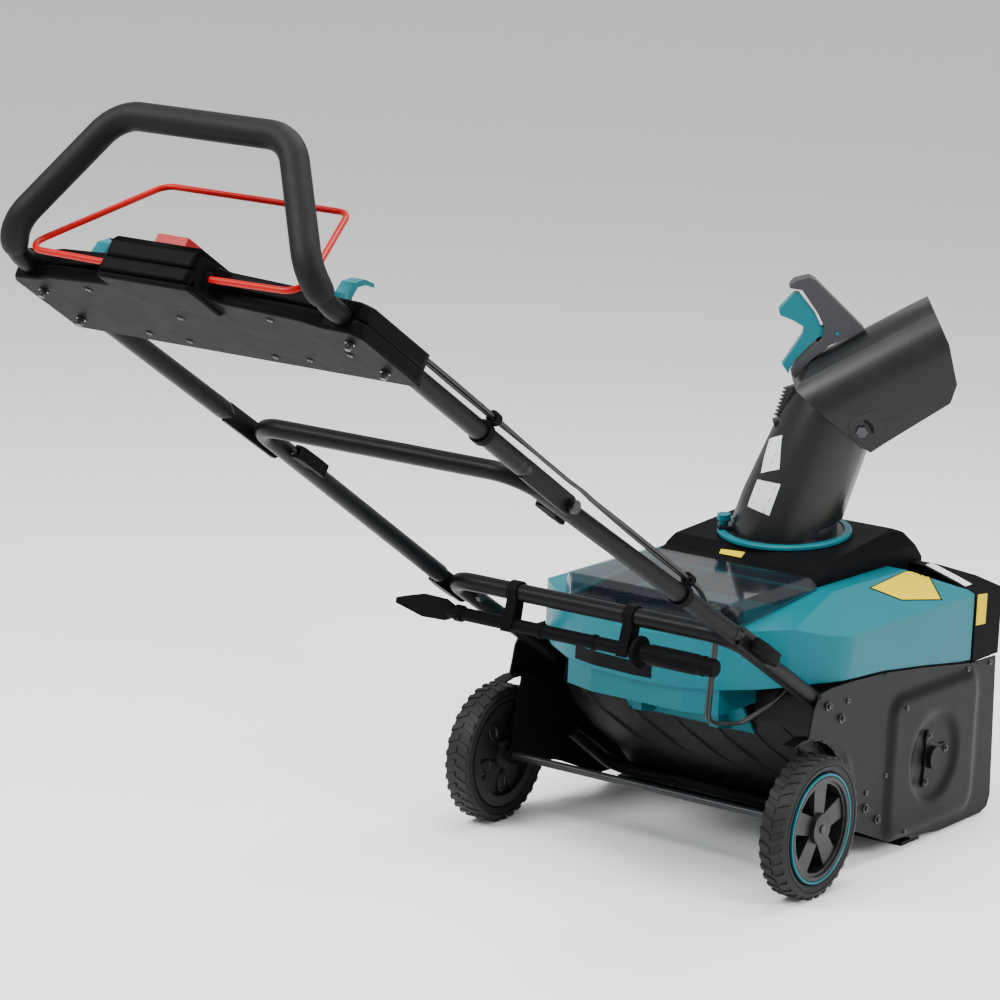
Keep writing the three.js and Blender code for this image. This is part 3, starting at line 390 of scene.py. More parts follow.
def on_frame(x, along, over=0):
    """The same on the folding middle frame, measured from the lower hinge."""
    return place(
        x,
        HINGE_LOW[0] + FRAME_RUN * along + FRAME_RISE * over,
        HINGE_LOW[1] + FRAME_RISE * along - FRAME_RUN * over,
    )


def cord_strands(name, route, body, replaced=()):
    """Both strands of the cord along one route, side by side and lightly twisted."""
    route = fair(route, 7)
    cord = Form()
    for side in (-1, 1):
        strand = []
        for i, point in enumerate(route):
            ahead = unit(route[min(i + 1, len(route) - 1)] - route[max(i - 1, 0)])
            across = unit(Vector((1, 0, 0)) - ahead * ahead.x)
            over = ahead.cross(across)
            twist = 0.5 * math.sin(point.y * 14)
            strand.append(point + (across * math.cos(twist) + over * math.sin(twist)) * side * HALF_GAP)
        cord.tube(strand, STRAND_RADIUS, 12)
    return cord.build(name, cord_sheath, body, "cord_rubber", replaced)


HALF_GAP = 0.0027
STRAND_RADIUS = 2.6
CLIP_ALONG = 228
FRAME_LEG = 247 - 34 * (CLIP_ALONG - 78) / 550
cord_strands("cord_on_handle", bend(
    [on_handle(246, 408, 20.5), on_handle(246, 90, 20.5), on_handle(244, 30, 21.5)], 120,
), "upper", ["cable_upper"])
cord_strands("cord_on_frame", bend([
    on_frame(244, FRAME_SPAN - 30, 21.5), on_frame(FRAME_LEG + 3, CLIP_ALONG + 90, 22.5),
    on_frame(FRAME_LEG + 3, CLIP_ALONG - 30, 22.5), on_frame(FRAME_LEG - 13, 146, 21),
], 60), "mid", ["cable_middle"])
hinge_cord = cord_strands("cord_at_hinge", bend([
    on_handle(244, 31, 21.5), on_frame(244, FRAME_SPAN, 23), on_frame(244, FRAME_SPAN - 31, 21.5),
], 30), "mid")
hinge_cord.parent = None
del hinge_cord["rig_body"]
on_frame(244, FRAME_SPAN - 28, 21.5)
on_handle(244, 28, 21.5)
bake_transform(hinge_cord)
cord_end = on_frame(FRAME_LEG - 13, 146, 21)
cord_aim = unit(cord_end - on_frame(FRAME_LEG + 3, CLIP_ALONG - 30, 22.5))
hood_cord = cord_strands("cord_to_hood", bend([
    cord_end, cord_end + cord_aim * 0.036, place(200, -162, 432), place(186, -140, 402),
    place(181, -132, 366), place(168, -118, 300), place(152, -96, 246), place(172, -40, 238),
    place(194, 8, 262), place(196, 38, 279),
], [16, 14, 14, 20, 24, 26, 24, 18]), "chassis", ["cable_lower"])
hood_cord.parent = None
del hood_cord["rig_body"]
place(181, -132, 366)
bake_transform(hood_cord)

# ---- steel tubes ----------------------------------------------------------
# Bent steel tube an inch across, powder coated satin black. Its ends are pressed
# flat into tabs and bored for the hinge bolts.
coated_steel = moulded("coated_steel", (0.0035, 0.0038, 0.0044), 0.38, 620, 0.00012, sheen=0.2, ior=1.3)


def loop(centre, radius, start, stop, steps, to_point):
    """Points on an arc, in degrees, drawn in the plane that to_point gives."""
    return [
        to_point(
            centre[0] + radius * math.cos(math.radians(start + (stop - start) * k / steps)),
            centre[1] + radius * math.sin(math.radians(start + (stop - start) * k / steps)),
        )
        for k in range(steps + 1)
    ]


def tab_outline(to_point, start, stop, half):
    """A pressed tab: a half round nose at start, square at stop."""
    nose = loop((start, 0), half, 90, 270, 14, to_point)
    return nose + [to_point(stop, -half), to_point(stop, half)]


leg_top = (-180, 398.7)
leg_run = unit((HINGE_LOW[0] - leg_top[0], HINGE_LOW[1] - leg_top[1], 0))
leg_foot = (leg_top[0] + leg_run.x * 318, leg_top[1] + leg_run.y * 318)
leg_x = 239.4
TUBE_RADIUS = 12.7
lower = Form().tube(fair(bend([
    place(-leg_x, *leg_foot), place(-leg_x, *leg_top), place(leg_x, *leg_top), place(leg_x, *leg_foot),
], 45, 16), 8), TUBE_RADIUS, 32)
lower.build("lower_frame_tube", coated_steel, "chassis", "black_steel", ["lower_frame"])

stay = bend([
    place(-leg_x, 156, 104.5), place(-leg_x, 268, 31), place(leg_x, 268, 31), place(leg_x, 156, 104.5),
], 36, 14)
stay_run = unit(stay[1] - stay[0])
stay[0] = stay[0] - stay_run * 0.012
stay[-1] = stay[-1] - unit(stay[-2] - stay[-1]) * 0.012
stay_tube = Form().tube(fair(stay, 8), 11, 28)
stay_tube.build("stay_tube", coated_steel, "chassis", "black_steel", ["bottom_tube"])

middle = Form().tube(fair(bend([
    on_frame(-247, 78), on_frame(-213, 628), on_frame(213, 628), on_frame(247, 78),
], 48, 16), 8), TUBE_RADIUS, 32)
for side in (-1, 1):
    inner = tab_outline(lambda s, v: on_frame(side * 252.6, s, v), -2, 84, 13.5)
    middle.plate(inner, Vector((side * 0.0068, 0, 0)))
    neck = [on_frame(side * 249, 70), on_frame(side * 248, 79), on_frame(side * 246.6, 96)]
    middle.tube(neck, [8, 12.2, 12.9], 28)
middle.build("middle_frame_tube", coated_steel, "mid", "black_steel", ["mid_frame"], edge=1.2)

grip_route = bend([
    on_handle(236, 128), on_handle(236, 631), place(130, -1028, 1123), place(-130, -1028, 1123),
    on_handle(-236, 631), on_handle(-236, 128),
], [52, 58, 58, 52], 16)
upper = Form().tube(fair(grip_route, 8), TUBE_RADIUS, 32)
for side in (-1, 1):
    inner = tab_outline(lambda s, v: on_handle(side * 232.4, s, v), 2, 122, 13.5)
    upper.plate(inner, Vector((side * 0.006, 0, 0)))
    neck = [on_handle(side * 235.5, 112), on_handle(side * 236, 126), on_handle(side * 236, 148)]
    upper.tube(neck, [7, 12.4, 12.95], 28)
upper.build("upper_handle_tube", coated_steel, "upper", "black_steel", ["upper_handle"], edge=1.2)

# ---- foam grip --------------------------------------------------------------
# One long sleeve of closed cell foam, pushed on along the whole hoop of the handle.
# Its skin is finely pitted and its cut ends are slightly rolled.
foam = Finish("sleeve_foam", 0.62, sheen=0.25, ior=1.35)
pits = foam.node("ShaderNodeTexVoronoi", None, {"Vector": foam.spot, "Scale": 1500.0})
foam_low, foam_high = (0.003, 0.0032, 0.0038, 1), (0.0055, 0.0058, 0.0068, 1)
foam.set("Base Color", foam.blend_colors(foam.noise(14, 4), foam_low, foam_high))
foam.set("Roughness", foam.noise(60, 4) * 0.18 + 0.5)
foam.set("Normal", foam.bump(pits, 0.0002, 0.6, foam.bump(foam.noise(240, 3), 0.00025, 0.5)))
sleeve = fair(bend([
    on_handle(236, 600), on_handle(236, 631), place(130, -1028, 1123), place(-130, -1028, 1123),
    on_handle(-236, 631), on_handle(-236, 600),
], [52, 58, 58, 52], 16), 6)
trim = [p for p in sleeve if p.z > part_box("foam_grip")[0].z + 0.010]
rolled = [14.6, 16.4, 17.3] + [17.5] * (len(trim) - 6) + [17.3, 16.4, 14.6]
Form().tube(trim, rolled, 40).build("foam_sleeve", foam.material, "upper", "foam", ["foam_grip"])

# ---- hinge hardware ---------------------------------------------------------
# Steel bolts plated in black zinc go through the pressed tabs of the tubes. Each is
# drawn up by a ribbed cam lever of black plastic, which turns on the bolt's end.
black_moulding = moulded(
    "black_moulding", (0.0036, 0.0037, 0.0042), 0.48, 1100, 0.00012, sheen=0.12, ior=1.18,
)
black_zinc = moulded("black_zinc", (0.018, 0.019, 0.021), 0.34, 900, 0.00005, 0.15, 0.15, metallic=0.6)
zinc_plate = moulded("zinc_plate", (0.42, 0.42, 0.43), 0.3, 1400, 0.00006, 0.1, 0.2, metallic=1.0)


def skin(node, finish, edge=0.8, smooth=32, steps=2, flat=0.6, long_only=0):
    """A node's own shape as one clean skin, with its edges softened and its finish on. With
    long_only, just the edges over that many millimetres are rounded, at their full width."""
    mesh = frame["nodes"][node].data.copy()
    mesh.name = node + "_skin"
    clean = bmesh.new()
    clean.from_mesh(mesh)
    bmesh.ops.remove_doubles(clean, verts=clean.verts, dist=2e-6)
    bmesh.ops.dissolve_limit(
        clean, angle_limit=math.radians(flat), verts=clean.verts, edges=clean.edges,
    )
    for layer in list(clean.loops.layers.uv):
        clean.loops.layers.uv.remove(layer)
    if long_only:
        rounding = clean.edges.layers.float.new("bevel_weight_edge")
        for line in clean.edges:
            crisp = line.is_manifold and line.calc_face_angle(0) > math.radians(smooth)
            line[rounding] = 1.0 if crisp and line.calc_length() * 1000 > long_only else 0.0
    clean.to_mesh(mesh)
    clean.free()
    body, slot = home_body[node], home_slot[node]
    piece = seat(node + "_skin", mesh, finish, body, [node], edge, smooth, steps)
    if long_only:
        piece.modifiers["softened_edges"].limit_method = "WEIGHT"
        piece.modifiers["softened_edges"].use_clamp_overlap = False
    return piece


for node in ("hinge_bolt_low_right", "hinge_bolt_low_left", "hinge_bolt_up_right", "hinge_bolt_up_left"):
    skin(node, black_zinc, 0.4)
for node in ("cam_lever_low_right", "cam_lever_low_left", "cam_lever_up_right", "cam_lever_up_left"):
    skin(node, black_moulding, 1.4, steps=3)


class Growth(Board):
    """A geometry tree that sets a small shape out many times and gives it a finish."""

    def __init__(self, name, inputs):
        tree = bpy.data.node_groups.new(name, "GeometryNodeTree")
        super().__init__(tree)
        tree.interface.new_socket("Geometry", in_out="INPUT", socket_type="NodeSocketGeometry")
        for label, kind in inputs:
            tree.interface.new_socket(label, in_out="INPUT", socket_type="NodeSocket" + kind)
        tree.interface.new_socket("Geometry", in_out="OUTPUT", socket_type="NodeSocketGeometry")
        self.source = tree.nodes.new("NodeGroupInput")

    def given(self, label):
        return Wire(self, self.source.outputs[label])

    def end(self, geometry):
        real = self.node("GeometryNodeRealizeInstances", None, {"Geometry": geometry})
        dressed = self.node(
            "GeometryNodeSetMaterial", None, {"Geometry": real, "Material": self.given("Finish")},
        )
        out = self.tree.nodes.new("NodeGroupOutput")
        self.tree.links.new(dressed.socket, out.inputs[0])

    def run(self, name, base_mesh, values, body, slot, smooth=34):
        """Grows the tree on a mesh once and seats the result as a plain piece."""
        holder = bpy.data.objects.new(name + "_holder", base_mesh)
        bpy.context.scene.collection.objects.link(holder)
        grower = holder.modifiers.new("growth", "NODES")
        grower.node_group = self.tree
        sockets = self.tree.interface.items_tree
        names = {item.name: item.identifier for item in sockets if item.in_out == "INPUT"}
        for label, value in values.items():
            grower[names[label]] = value
        bpy.context.view_layer.update()
        graph = bpy.context.evaluated_depsgraph_get()
        mesh = bpy.data.meshes.new_from_object(holder.evaluated_get(graph))
        mesh.name = name
        bpy.data.objects.remove(holder)
        return seat(name, mesh, values["Finish"], body, smooth=smooth)


# studs set out on marked spots, each facing the way that its spot says
studding = Growth("studding", [("Stud", "Object"), ("Size", "Float"), ("Finish", "Material")])
facing = studding.node(
    "GeometryNodeInputNamedAttribute", {"data_type": "FLOAT_VECTOR"}, {"Name": "facing"},
)
turn = studding.node("FunctionNodeAlignRotationToVector", {"axis": "Z"}, {"Vector": facing})
stud = studding.node("GeometryNodeObjectInfo", None, {"Object": studding.given("Stud")}, "Geometry")
studding.end(studding.node("GeometryNodeInstanceOnPoints", None, {
    "Points": studding.given("Geometry"), "Instance": stud, "Rotation": turn,
    "Scale": studding.given("Size"),
}))


def template(name, form):
    """A small shape that growth trees copy. It stands at the origin, facing up."""
    mesh = bpy.data.meshes.new(name)
    mesh.from_pydata([tuple(p) for p in form.points], [], form.faces)
    whole = bmesh.new()
    whole.from_mesh(mesh)
    bmesh.ops.remove_doubles(whole, verts=whole.verts, dist=1e-7)
    bmesh.ops.recalc_face_normals(whole, faces=whole.faces)
    whole.to_mesh(mesh)
    whole.free()
    made = bpy.data.objects.new(name, mesh)
    bpy.context.scene.collection.objects.link(made)
    made.hide_render = True
    return made


origin = Vector((0, 0, 0))
up = Vector((0, 0, 1))
hex_head = Form().turned([(0.05, -1), (6, -1), (6, 0.9), (5.4, 1.3), (0.05, 1.3)], origin, up, 24)
hex_head.turned([
    (0.05, 1), (3.9, 1), (3.9, 3.9), (3.3, 4.4), (2.4, 4.4), (1.9, 3.6), (0.05, 3.6),
], origin, up, 6)
bolt_stud = template("bolt_stud", hex_head)
pan_head = Form().turned([
    (0.05, -1), (4.2, -1), (4.2, 0.6), (3.6, 1.6), (2.2, 2.2), (1.5, 2.2), (1.2, 0.9), (0.05, 0.9),
], origin, up, 20)
screw_stud = template("screw_stud", pan_head)


def set_studs(name, stud_shape, spots, size, finish, body, slot):
    """spots is a list of (point, facing)."""
    marks = bpy.data.meshes.new(name + "_marks")
    marks.from_pydata([tuple(p) for p, _ in spots], [], [])
    aims = marks.attributes.new("facing", "FLOAT_VECTOR", "POINT")
    for mark, (_, aim) in zip(aims.data, spots):
        mark.vector = aim
    values = {"Stud": stud_shape, "Size": size, "Finish": finish}
    return studding.run(name, marks, values, body, slot)


RIGHT, LEFT = Vector((1, 0, 0)), Vector((-1, 0, 0))
dark_screw = moulded("blackened_screw", (0.05, 0.05, 0.054), 0.28, 900, 0.00005, 0.15, 0.15, metallic=0.8)

# ---- cord clips -------------------------------------------------------------
# Two black plastic snap clips with a small eye for the cord. Each springs over one
# of the right hand legs, one on the handle and one on the folding frame.
skin("cable_clip_upper", black_moulding, 0.8)
skin("cable_clip_lower", black_moulding, 0.8)

# ---- console ------------------------------------------------------------------
# A two part moulded case clamped over both legs of the handle by long screws, with
# the switch inside. The red button and the red rod bail work it, and two teal
# trigger levers stand up through its top.
teal_moulding = moulded(
    "teal_moulding", (0.0, 0.104, 0.13), 0.3, 1000, 0.00008, 0.07, 0.1, sheen=0.22, ior=1.4,
)
red_moulding = moulded(
    "red_moulding", (0.31, 0.0, 0.0), 0.36, 1000, 0.00008, 0.08, 0.1, sheen=0.25, ior=1.35,
)
red_coating = moulded(
    "red_coating", (0.34, 0.0, 0.0), 0.34, 500, 0.00006, 0.05, 0.08, sheen=0.25, ior=1.35,
)
skin("console_lower", black_moulding, 4.5, smooth=20, steps=4, long_only=14)
skin("console_upper", black_moulding, 4.5, smooth=20, steps=4, long_only=14)
button = skin("start_button", red_moulding, 1.6, steps=3)
button_middle = (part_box("start_button")[0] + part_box("start_button")[1]) / 2
off_case = Vector((0, HANDLE_RISE, -HANDLE_RUN))
CAP_RISE = 0.009
for corner in button.data.vertices:
    if (corner.co - button_middle).dot(off_case) > 0.002:
        corner.co += off_case * CAP_RISE
skin("lever_right", teal_moulding, 0.9)
skin("lever_left", teal_moulding, 0.9)
below = Vector((0, -HANDLE_RISE, HANDLE_RUN))
CASE_UNDERSIDE = -18.8
case_screws = [
    (-138, 560), (-63, 584), (-27, 514), (48, 585), (-129, 439), (-68, 435), (140, 561), (63, 433),
    (122, 444), (209, 487),
]
set_studs("console_screws", screw_stud, [
    (on_handle(x, s, CASE_UNDERSIDE - 0.2), below) for x, s in case_screws
], 0.9, dark_screw, "upper", "black_plastic")
clamp_end = Form().turned([
    (0.05, -1), (6.5, -1), (6.5, 2), (4.6, 2.4), (4.6, 8), (3.6, 9.6), (0.05, 10),
], origin, up, 20)
clamp_stud = template("clamp_stud", clamp_end)
set_studs("console_clamp_bolts", clamp_stud, [
    (on_handle(x, s, CASE_UNDERSIDE + 0.2), below) for x in (-232, 236) for s in (448, 529)
], 1.0, dark_screw, "upper", "black_plastic")
bosses = Form()
for x, s in case_screws:
    bosses.turned([
        (0.1, -1), (7, -1), (7, 0.2), (6.2, 0.7), (4.6, 0.7), (0.1, 0.5),
    ], on_handle(x, s, CASE_UNDERSIDE), below, 24)
bosses.build("console_screw_seats", black_moulding, "upper", "black_plastic")

rod = Form().tube(fair(bend([
    on_handle(40, 611), on_handle(90, 611), on_handle(212, 613, 1), place(140, -929, 1028),
    place(-140, -929, 1028), on_handle(-212, 613, 1), on_handle(-90, 611), on_handle(-40, 611),
], [30, 20, 22, 22, 20, 30], 12), 4), 4, 20, (0, 0, 1))
rod.build("bail_rod", red_coating, "bail_bar", "red_rod", ["bail"])
collars = Form()
for side in (-1, 1):
    collars.turned([
        (4.2, -1), (8.5, -1), (8.5, 2.6), (7, 3.6), (4.2, 3.6),
    ], on_handle(side * 72.6, 611), (side, 0, 0), 28)
collars.build("bail_collars", black_moulding, "upper", "black_plastic", edge=0.3)

# ---- auger housing -------------------------------------------------------------
# One deep black moulding that wraps round behind the auger. Its back is stiffened by
# slanting ribs and carries the round snow outlet.
housing_moulding = moulded(
    "housing_moulding", (0.005, 0.0051, 0.0055), 0.46, 700, 0.0002, 0.14, sheen=0.25,
)
skin("auger_housing", housing_moulding, 0.9)
back_line = [
    (298, 25), (250, 70.6), (212, 96.5), (178, 116.6), (151, 140.5), (127, 163.4), (110, 186),
    (96.8, 205),
]
RIB_LEFT, RIB_RIGHT = -0.2, 0.25
RIB_PITCH, RIB_SLANT = 72, 15
ribs = Form()
for start in range(-98, 263, RIB_PITCH):
    slant = [place(start - RIB_SLANT * k, y, z) for k, (y, z) in enumerate(back_line)]
    slant = fair(bend(slant, 16, 4), 5)
    width = [1.2, 2.6] + [3.6] * (len(slant) - 4) + [2.6, 1.2]
    inside = [p for p in slant if RIB_LEFT < p.x < RIB_RIGHT]
    ribs.tube(inside, width[:len(inside)], 12)
ribs.build("housing_ribs", housing_moulding, "chassis", "housing_plastic")
skin("scraper_blade", coated_steel, 0.6)
set_studs("scraper_bolts", bolt_stud, [
    (place(x, 312, 6), up) for x in (-210, -105, 105, 210)
], 0.8, dark_screw, "chassis", "dark_steel")

# ---- side plates --------------------------------------------------------------
# Steel plates, powder coated. A rounded field is pressed outwards with a flat dish left
# in it for the bearing, and a low bead follows the wheel arch. Bolts hold the tubes,
# screws the housing.
plate_bolts = [(53, 261), (92, 236), (176, 86), (212, 62)]
plate_screws = [(108, 258), (270, 217), (229, 124), (176, 109), (288, 27), (455, 239), (522, 237)]
flange_bolts = [(343.8, 160.2), (341.9, 90.6), (395.4, 131.6)]
PLATE_FACE, FLANGE_FACE = 256, 259
PRESS_GRID = 7


def rise(value):
    value = min(max(value, 0.0), 1.0)
    return value * value * (3 - 2 * value)


def pressing(y, z):
    """How far the plate is pressed out at a place, in millimetres: a rounded field, a dish round
    the bearing that comes back to the flat, and a bead that follows the wheel arch."""
    across, tall = abs(y - 360) - 132 + 34, abs(z - 128) - 112 + 34
    field = math.hypot(max(across, 0), max(tall, 0)) + min(max(across, tall), 0) - 34
    dish = math.hypot(y - 362, z - 126) - 60
    arch = abs(math.hypot(y, z - 101.5) - 133)
    bead = rise(1 - arch / 9) * rise((y + 20) / 30) * rise((190 - z) / 25)
    return 5.5 * rise(-field / 14) * rise(dish / 14 + 0.2) + 2.6 * bead


for side, name in ((1, "right"), (-1, "left")):
    panel = skin("side_panel_" + name, coated_steel, 0.9)
    sheet = bmesh.new()
    sheet.from_mesh(panel.data)
    for axis, low, high in ((1, -30, 545), (2, 8, 345)):
        for cut in range(low, high, PRESS_GRID):
            bmesh.ops.bisect_plane(
                sheet, geom=sheet.verts[:] + sheet.edges[:] + sheet.faces[:],
                plane_co=place(0, cut, cut), plane_no=Vector((0, axis == 1, axis == 2)),
            )
    outside = max(side * v.co.x for v in sheet.verts if 0.5 < v.co.y < 0.75) - 0.0002
    for v in sheet.verts:
        if side * v.co.x > outside:
            if all(side * f.normal.x >= 0.9 for f in v.link_faces):
                y, z = v.co.y * 1000 - AXLE_MIDDLE_Y, v.co.z * 1000
                v.co.x += side * pressing(y, z) / 1000
    bmesh.ops.triangulate(sheet, faces=[f for f in sheet.faces if len(f.verts) > 4])
    sheet.to_mesh(panel.data)
    sheet.free()
    panel.data.shade_smooth()
    panel.data.set_sharp_from_angle(angle=math.radians(40))
    skin("bearing_flange_" + name, coated_steel, 0.7)
sides = [(1, RIGHT), (-1, LEFT)]
set_studs("plate_bolts", bolt_stud, [
    (place(side * PLATE_FACE, y, z) + aim * pressing(y, z) / 1000, aim)
    for side, aim in sides for y, z in plate_bolts
], 1.15, dark_screw, "chassis", "dark_steel")
set_studs("plate_screws", screw_stud, [
    (place(side * PLATE_FACE, y, z) + aim * pressing(y, z) / 1000, aim)
    for side, aim in sides for y, z in plate_screws
], 1.0, dark_screw, "chassis", "dark_steel")
set_studs("flange_bolts", bolt_stud, [
    (place(side * FLANGE_FACE, y, z), aim) for side, aim in sides for y, z in flange_bolts
], 0.9, dark_screw, "chassis", "dark_steel")

# ---- auger and drive -------------------------------------------------------------
# Moulded rubber flights on a steel shaft, turned by a toothed belt from a motor that
# hangs under the hood beside its control box.
flight_rubber = moulded("flight_rubber", (0.006, 0.006, 0.0062), 0.6, 500, 0.0003, 0.2, sheen=0.25)
dark_can = moulded("dark_can", (0.06, 0.06, 0.064), 0.34, 800, 0.00008, 0.12, 0.2, metallic=0.7)
skin("auger_flights", flight_rubber, 1.0)
skin("auger_shaft", zinc_plate, 0.5)
skin("drive_motor", dark_can, 1.5)
skin("motor_rotor", zinc_plate, 0.4)
skin("drive_belt", flight_rubber, 0.3)
skin("controller_box", black_moulding, 1.6)

# ---- hood and cover ---------------------------------------------------------------
# A glossy teal hood sits over the battery bay and motor, and a black cover carries
# the chute ring and closes the front.
skin("hood", teal_moulding, 1.3, smooth=24, steps=3)
skin("top_cover", black_moulding, 1.3, smooth=24, steps=3)
skin("chute_ring", teal_moulding, 1.2, steps=3)


def surface_patch(name, node, outline, lift, finish, body, step=6.0):
    """A thin printed patch laid on a node's surface. outline holds points near that surface
    in order, and the patch is pressed onto it along their common normal."""
    drawn = frame["nodes"][node].data
    corners = [v.co for v in drawn.vertices]
    tree = BVHTree.FromPolygons(corners, [tuple(f.vertices) for f in drawn.polygons])
    centre = sum(outline, Vector()) / len(outline)
    flat = Vector()
    for a, b in zip(outline, outline[1:] + outline[:1]):
        flat += (a - centre).cross(b - centre)
    flat.normalize()
    low_corner, high_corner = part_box(node)
    if flat.dot(centre - (low_corner + high_corner) / 2) < 0:
        flat = -flat
    across = unit(outline[1] - outline[0])
    over = flat.cross(across)
    made = bmesh.new()
    made.faces.new([
        made.verts.new(centre + across * (p - centre).dot(across) + over * (p - centre).dot(over))
        for p in outline
    ])
    for axis in (across, over):
        reach = [(v.co - centre).dot(axis) for v in made.verts]
        low, high = min(reach), max(reach)
        count = max(1, int((high - low) * 1000 / step))
        for k in range(1, count):
            bmesh.ops.bisect_plane(
                made, geom=made.verts[:] + made.edges[:] + made.faces[:],
                plane_co=centre + axis * (low + (high - low) * k / count), plane_no=axis,
            )
    for vert in made.verts:
        hit, _, _, _ = tree.ray_cast(vert.co + flat * 0.05, -flat, 0.12)
        if hit is None:
            hit = tree.find_nearest(vert.co)[0]
        vert.co = hit + flat * lift / 1000
    back = bmesh.ops.duplicate(made, geom=made.verts[:] + made.edges[:] + made.faces[:])
    for vert in [g for g in back["geom"] if isinstance(g, bmesh.types.BMVert)]:
        vert.co -= flat * (lift + 0.15) / 1000
    rims = [e for e in made.edges if len(e.link_faces) == 1]
    bmesh.ops.bridge_loops(made, edges=rims)
    bmesh.ops.recalc_face_normals(made, faces=made.faces)
    mesh = bpy.data.meshes.new(name)
    made.to_mesh(mesh)
    made.free()
    return seat(name, mesh, finish, body, smooth=60)


yellow_print = moulded(
    "yellow_print", (0.56, 0.42, 0.0), 0.5, 600, 0.00003, 0.04, 0.08, sheen=0.15, ior=1.3,
)
pale_print = moulded("pale_print", (0.62, 0.64, 0.66), 0.32, 600, 0.00003, 0.06, 0.08)
dark_print = moulded(
    "dark_print", (0.006, 0.0065, 0.0075), 0.45, 600, 0.00003, 0.06, 0.08, sheen=0.15, ior=1.2,
)
slope_patch = [
    place(181, 277, 379), place(172, 396, 383), place(184, 440, 378), place(243, 385, 353.5),
    place(220, 304, 362.5),
]
middle_of_patch = sum(slope_patch, Vector()) / 5
inner_patch = [middle_of_patch.lerp(p, 0.94) for p in slope_patch]
surface_patch("slope_patch_edge", "hood", slope_patch, 0.35, dark_print, "chassis")
surface_patch("slope_patch", "hood", inner_patch, 0.6, yellow_print, "chassis")
surface_patch("cover_side_patch", "top_cover", [
    place(254, 472, 349), place(254, 501, 346), place(254, 501, 300), place(254, 472, 302),
], 0.4, yellow_print, "chassis")
surface_patch("cover_top_patch", "top_cover", [
    place(163, 473, 378), place(232, 473, 357.6), place(232, 492, 357.6), place(163, 492, 376),
], 0.4, pale_print, "chassis")
surface_patch("ring_patch", "top_cover", [
    place(-45, 232, 405.7), place(-5, 234, 407.6), place(-6, 225.5, 400.6), place(-44, 225.5, 400.6),
], 0.4, yellow_print, "chassis", 12)

# ---- battery bay ---------------------------------------------------------------------
# Two packs stand side by side in a teal tray whose struts bolt to the housing. A
# smoked clear lid hinged at its front keeps the snow off them.
smoked = Finish("smoked_lid", 0.1, coat=0.6, alpha=0.62)
smoke_dark, smoke_pale = (0.004, 0.007, 0.011, 1), (0.012, 0.017, 0.024, 1)
smoked.set("Base Color", smoked.blend_colors(smoked.noise(6, 3), smoke_dark, smoke_pale))
smoked.set("Roughness", smoked.noise(30, 4) * 0.1 + 0.05)
smoked.set("Alpha", smoked.noise(4, 2) * 0.1 + 0.36)
skin("battery_lid", smoked.material, 1.6, smooth=24, steps=3)
skin("battery_tray", teal_moulding, 0.9)
skin("battery_left", black_moulding, 3, steps=3)
skin("battery_right", black_moulding, 3, steps=3)
set_studs("tray_screws", screw_stud, [
    (place(x, 95, 188), Vector((0, -0.62, -0.78))) for x in (-66, 66)
], 1.25, zinc_plate, "chassis", "zinc")
plate_foot, plate_head = 279, 299
surface_patch("rating_patch", "hood", [
    place(-110, -40, plate_head), place(30, -60, plate_head),
    place(30, -60, plate_foot), place(-110, -40, plate_foot),
], 0.4, dark_print, "chassis")

# ---- chute ---------------------------------------------------------------------------
# A leaning black spout turns on the teal ring. Its deflector tips on two bolts and is
# set by a grip with a teal trigger that drops into a toothed rack; a teal knob locks
# the turn.
spout = (
    Matrix.Translation(place(0, 333, 424)) @ Matrix.Rotation(math.radians(5), 4, "X")
    @ Matrix.Rotation(math.radians(-54), 4, "Z")
)


def on_spout(x, y, z):
    return spout @ Vector((x / 1000, y / 1000, z / 1000))


grey_moulding = moulded("grey_moulding", (0.021, 0.022, 0.0245), 0.42, 1100, 0.00012, sheen=0.3)
spout_moulding = moulded(
    "spout_moulding", (0.0055, 0.0062, 0.0068), 0.32, 1300, 0.00008, 0.1, 0.1, sheen=0.3,
)
skin("chute_tube", spout_moulding, 0.7, smooth=30)
skin("deflector", spout_moulding, 1.0, smooth=26, steps=3)
skin("deflector_grip", grey_moulding, 1.8, steps=3)
skin("deflector_trigger", teal_moulding, 1.4, steps=3)
skin("lock_knob", teal_moulding, 0.9)
skin("deflector_bolt_right", dark_screw, 0.5)
skin("deflector_bolt_left", dark_screw, 0.5)
turn_axis = (spout.to_3x3() @ Vector((1, 0, 0))).normalized()
pivot_plate = Form()
for side in (-1, 1):
    def on_cheek(y, z):
        return on_spout(side * 71.8, y, z)
    loop_points = []
    for lean in (30, 120, 210, 300):
        turned_by = math.radians(lean + 45)
        corner = (113 + 17 * math.cos(turned_by), 174 + 17 * math.sin(turned_by))
        loop_points += loop(corner, 12, lean, lean + 90, 6, on_cheek)
    pivot_plate.plate(loop_points, turn_axis * side * 0.0016)
pivot_plate.build("pivot_plates", spout_moulding, "deflector_head", "black_plastic", edge=0.7)
slot_marks = Form()
for side in (-1, 1):
    track = loop((104, 172), 16, -10, 80, 12, lambda y, z: on_spout(side * 73.3, y, z))
    slot_marks.tube(track, [1.4, 2.2] + [2.4] * 9 + [2.2, 1.4], 10)
slot_marks.build("tilt_slots", dark_print, "deflector_head", "black_plastic")
surface_patch("spout_patch_high", "chute_tube", [
    place(-15, 289, 568), place(16, 285, 578), place(22, 271, 530), place(-12, 276, 518),
], 0.4, pale_print, "chute", 5)
surface_patch("spout_patch_low", "chute_tube", [
    place(-16, 276, 508), place(28, 268, 509), place(17, 259, 462), place(-25, 267, 468),
], 0.4, pale_print, "chute", 5)

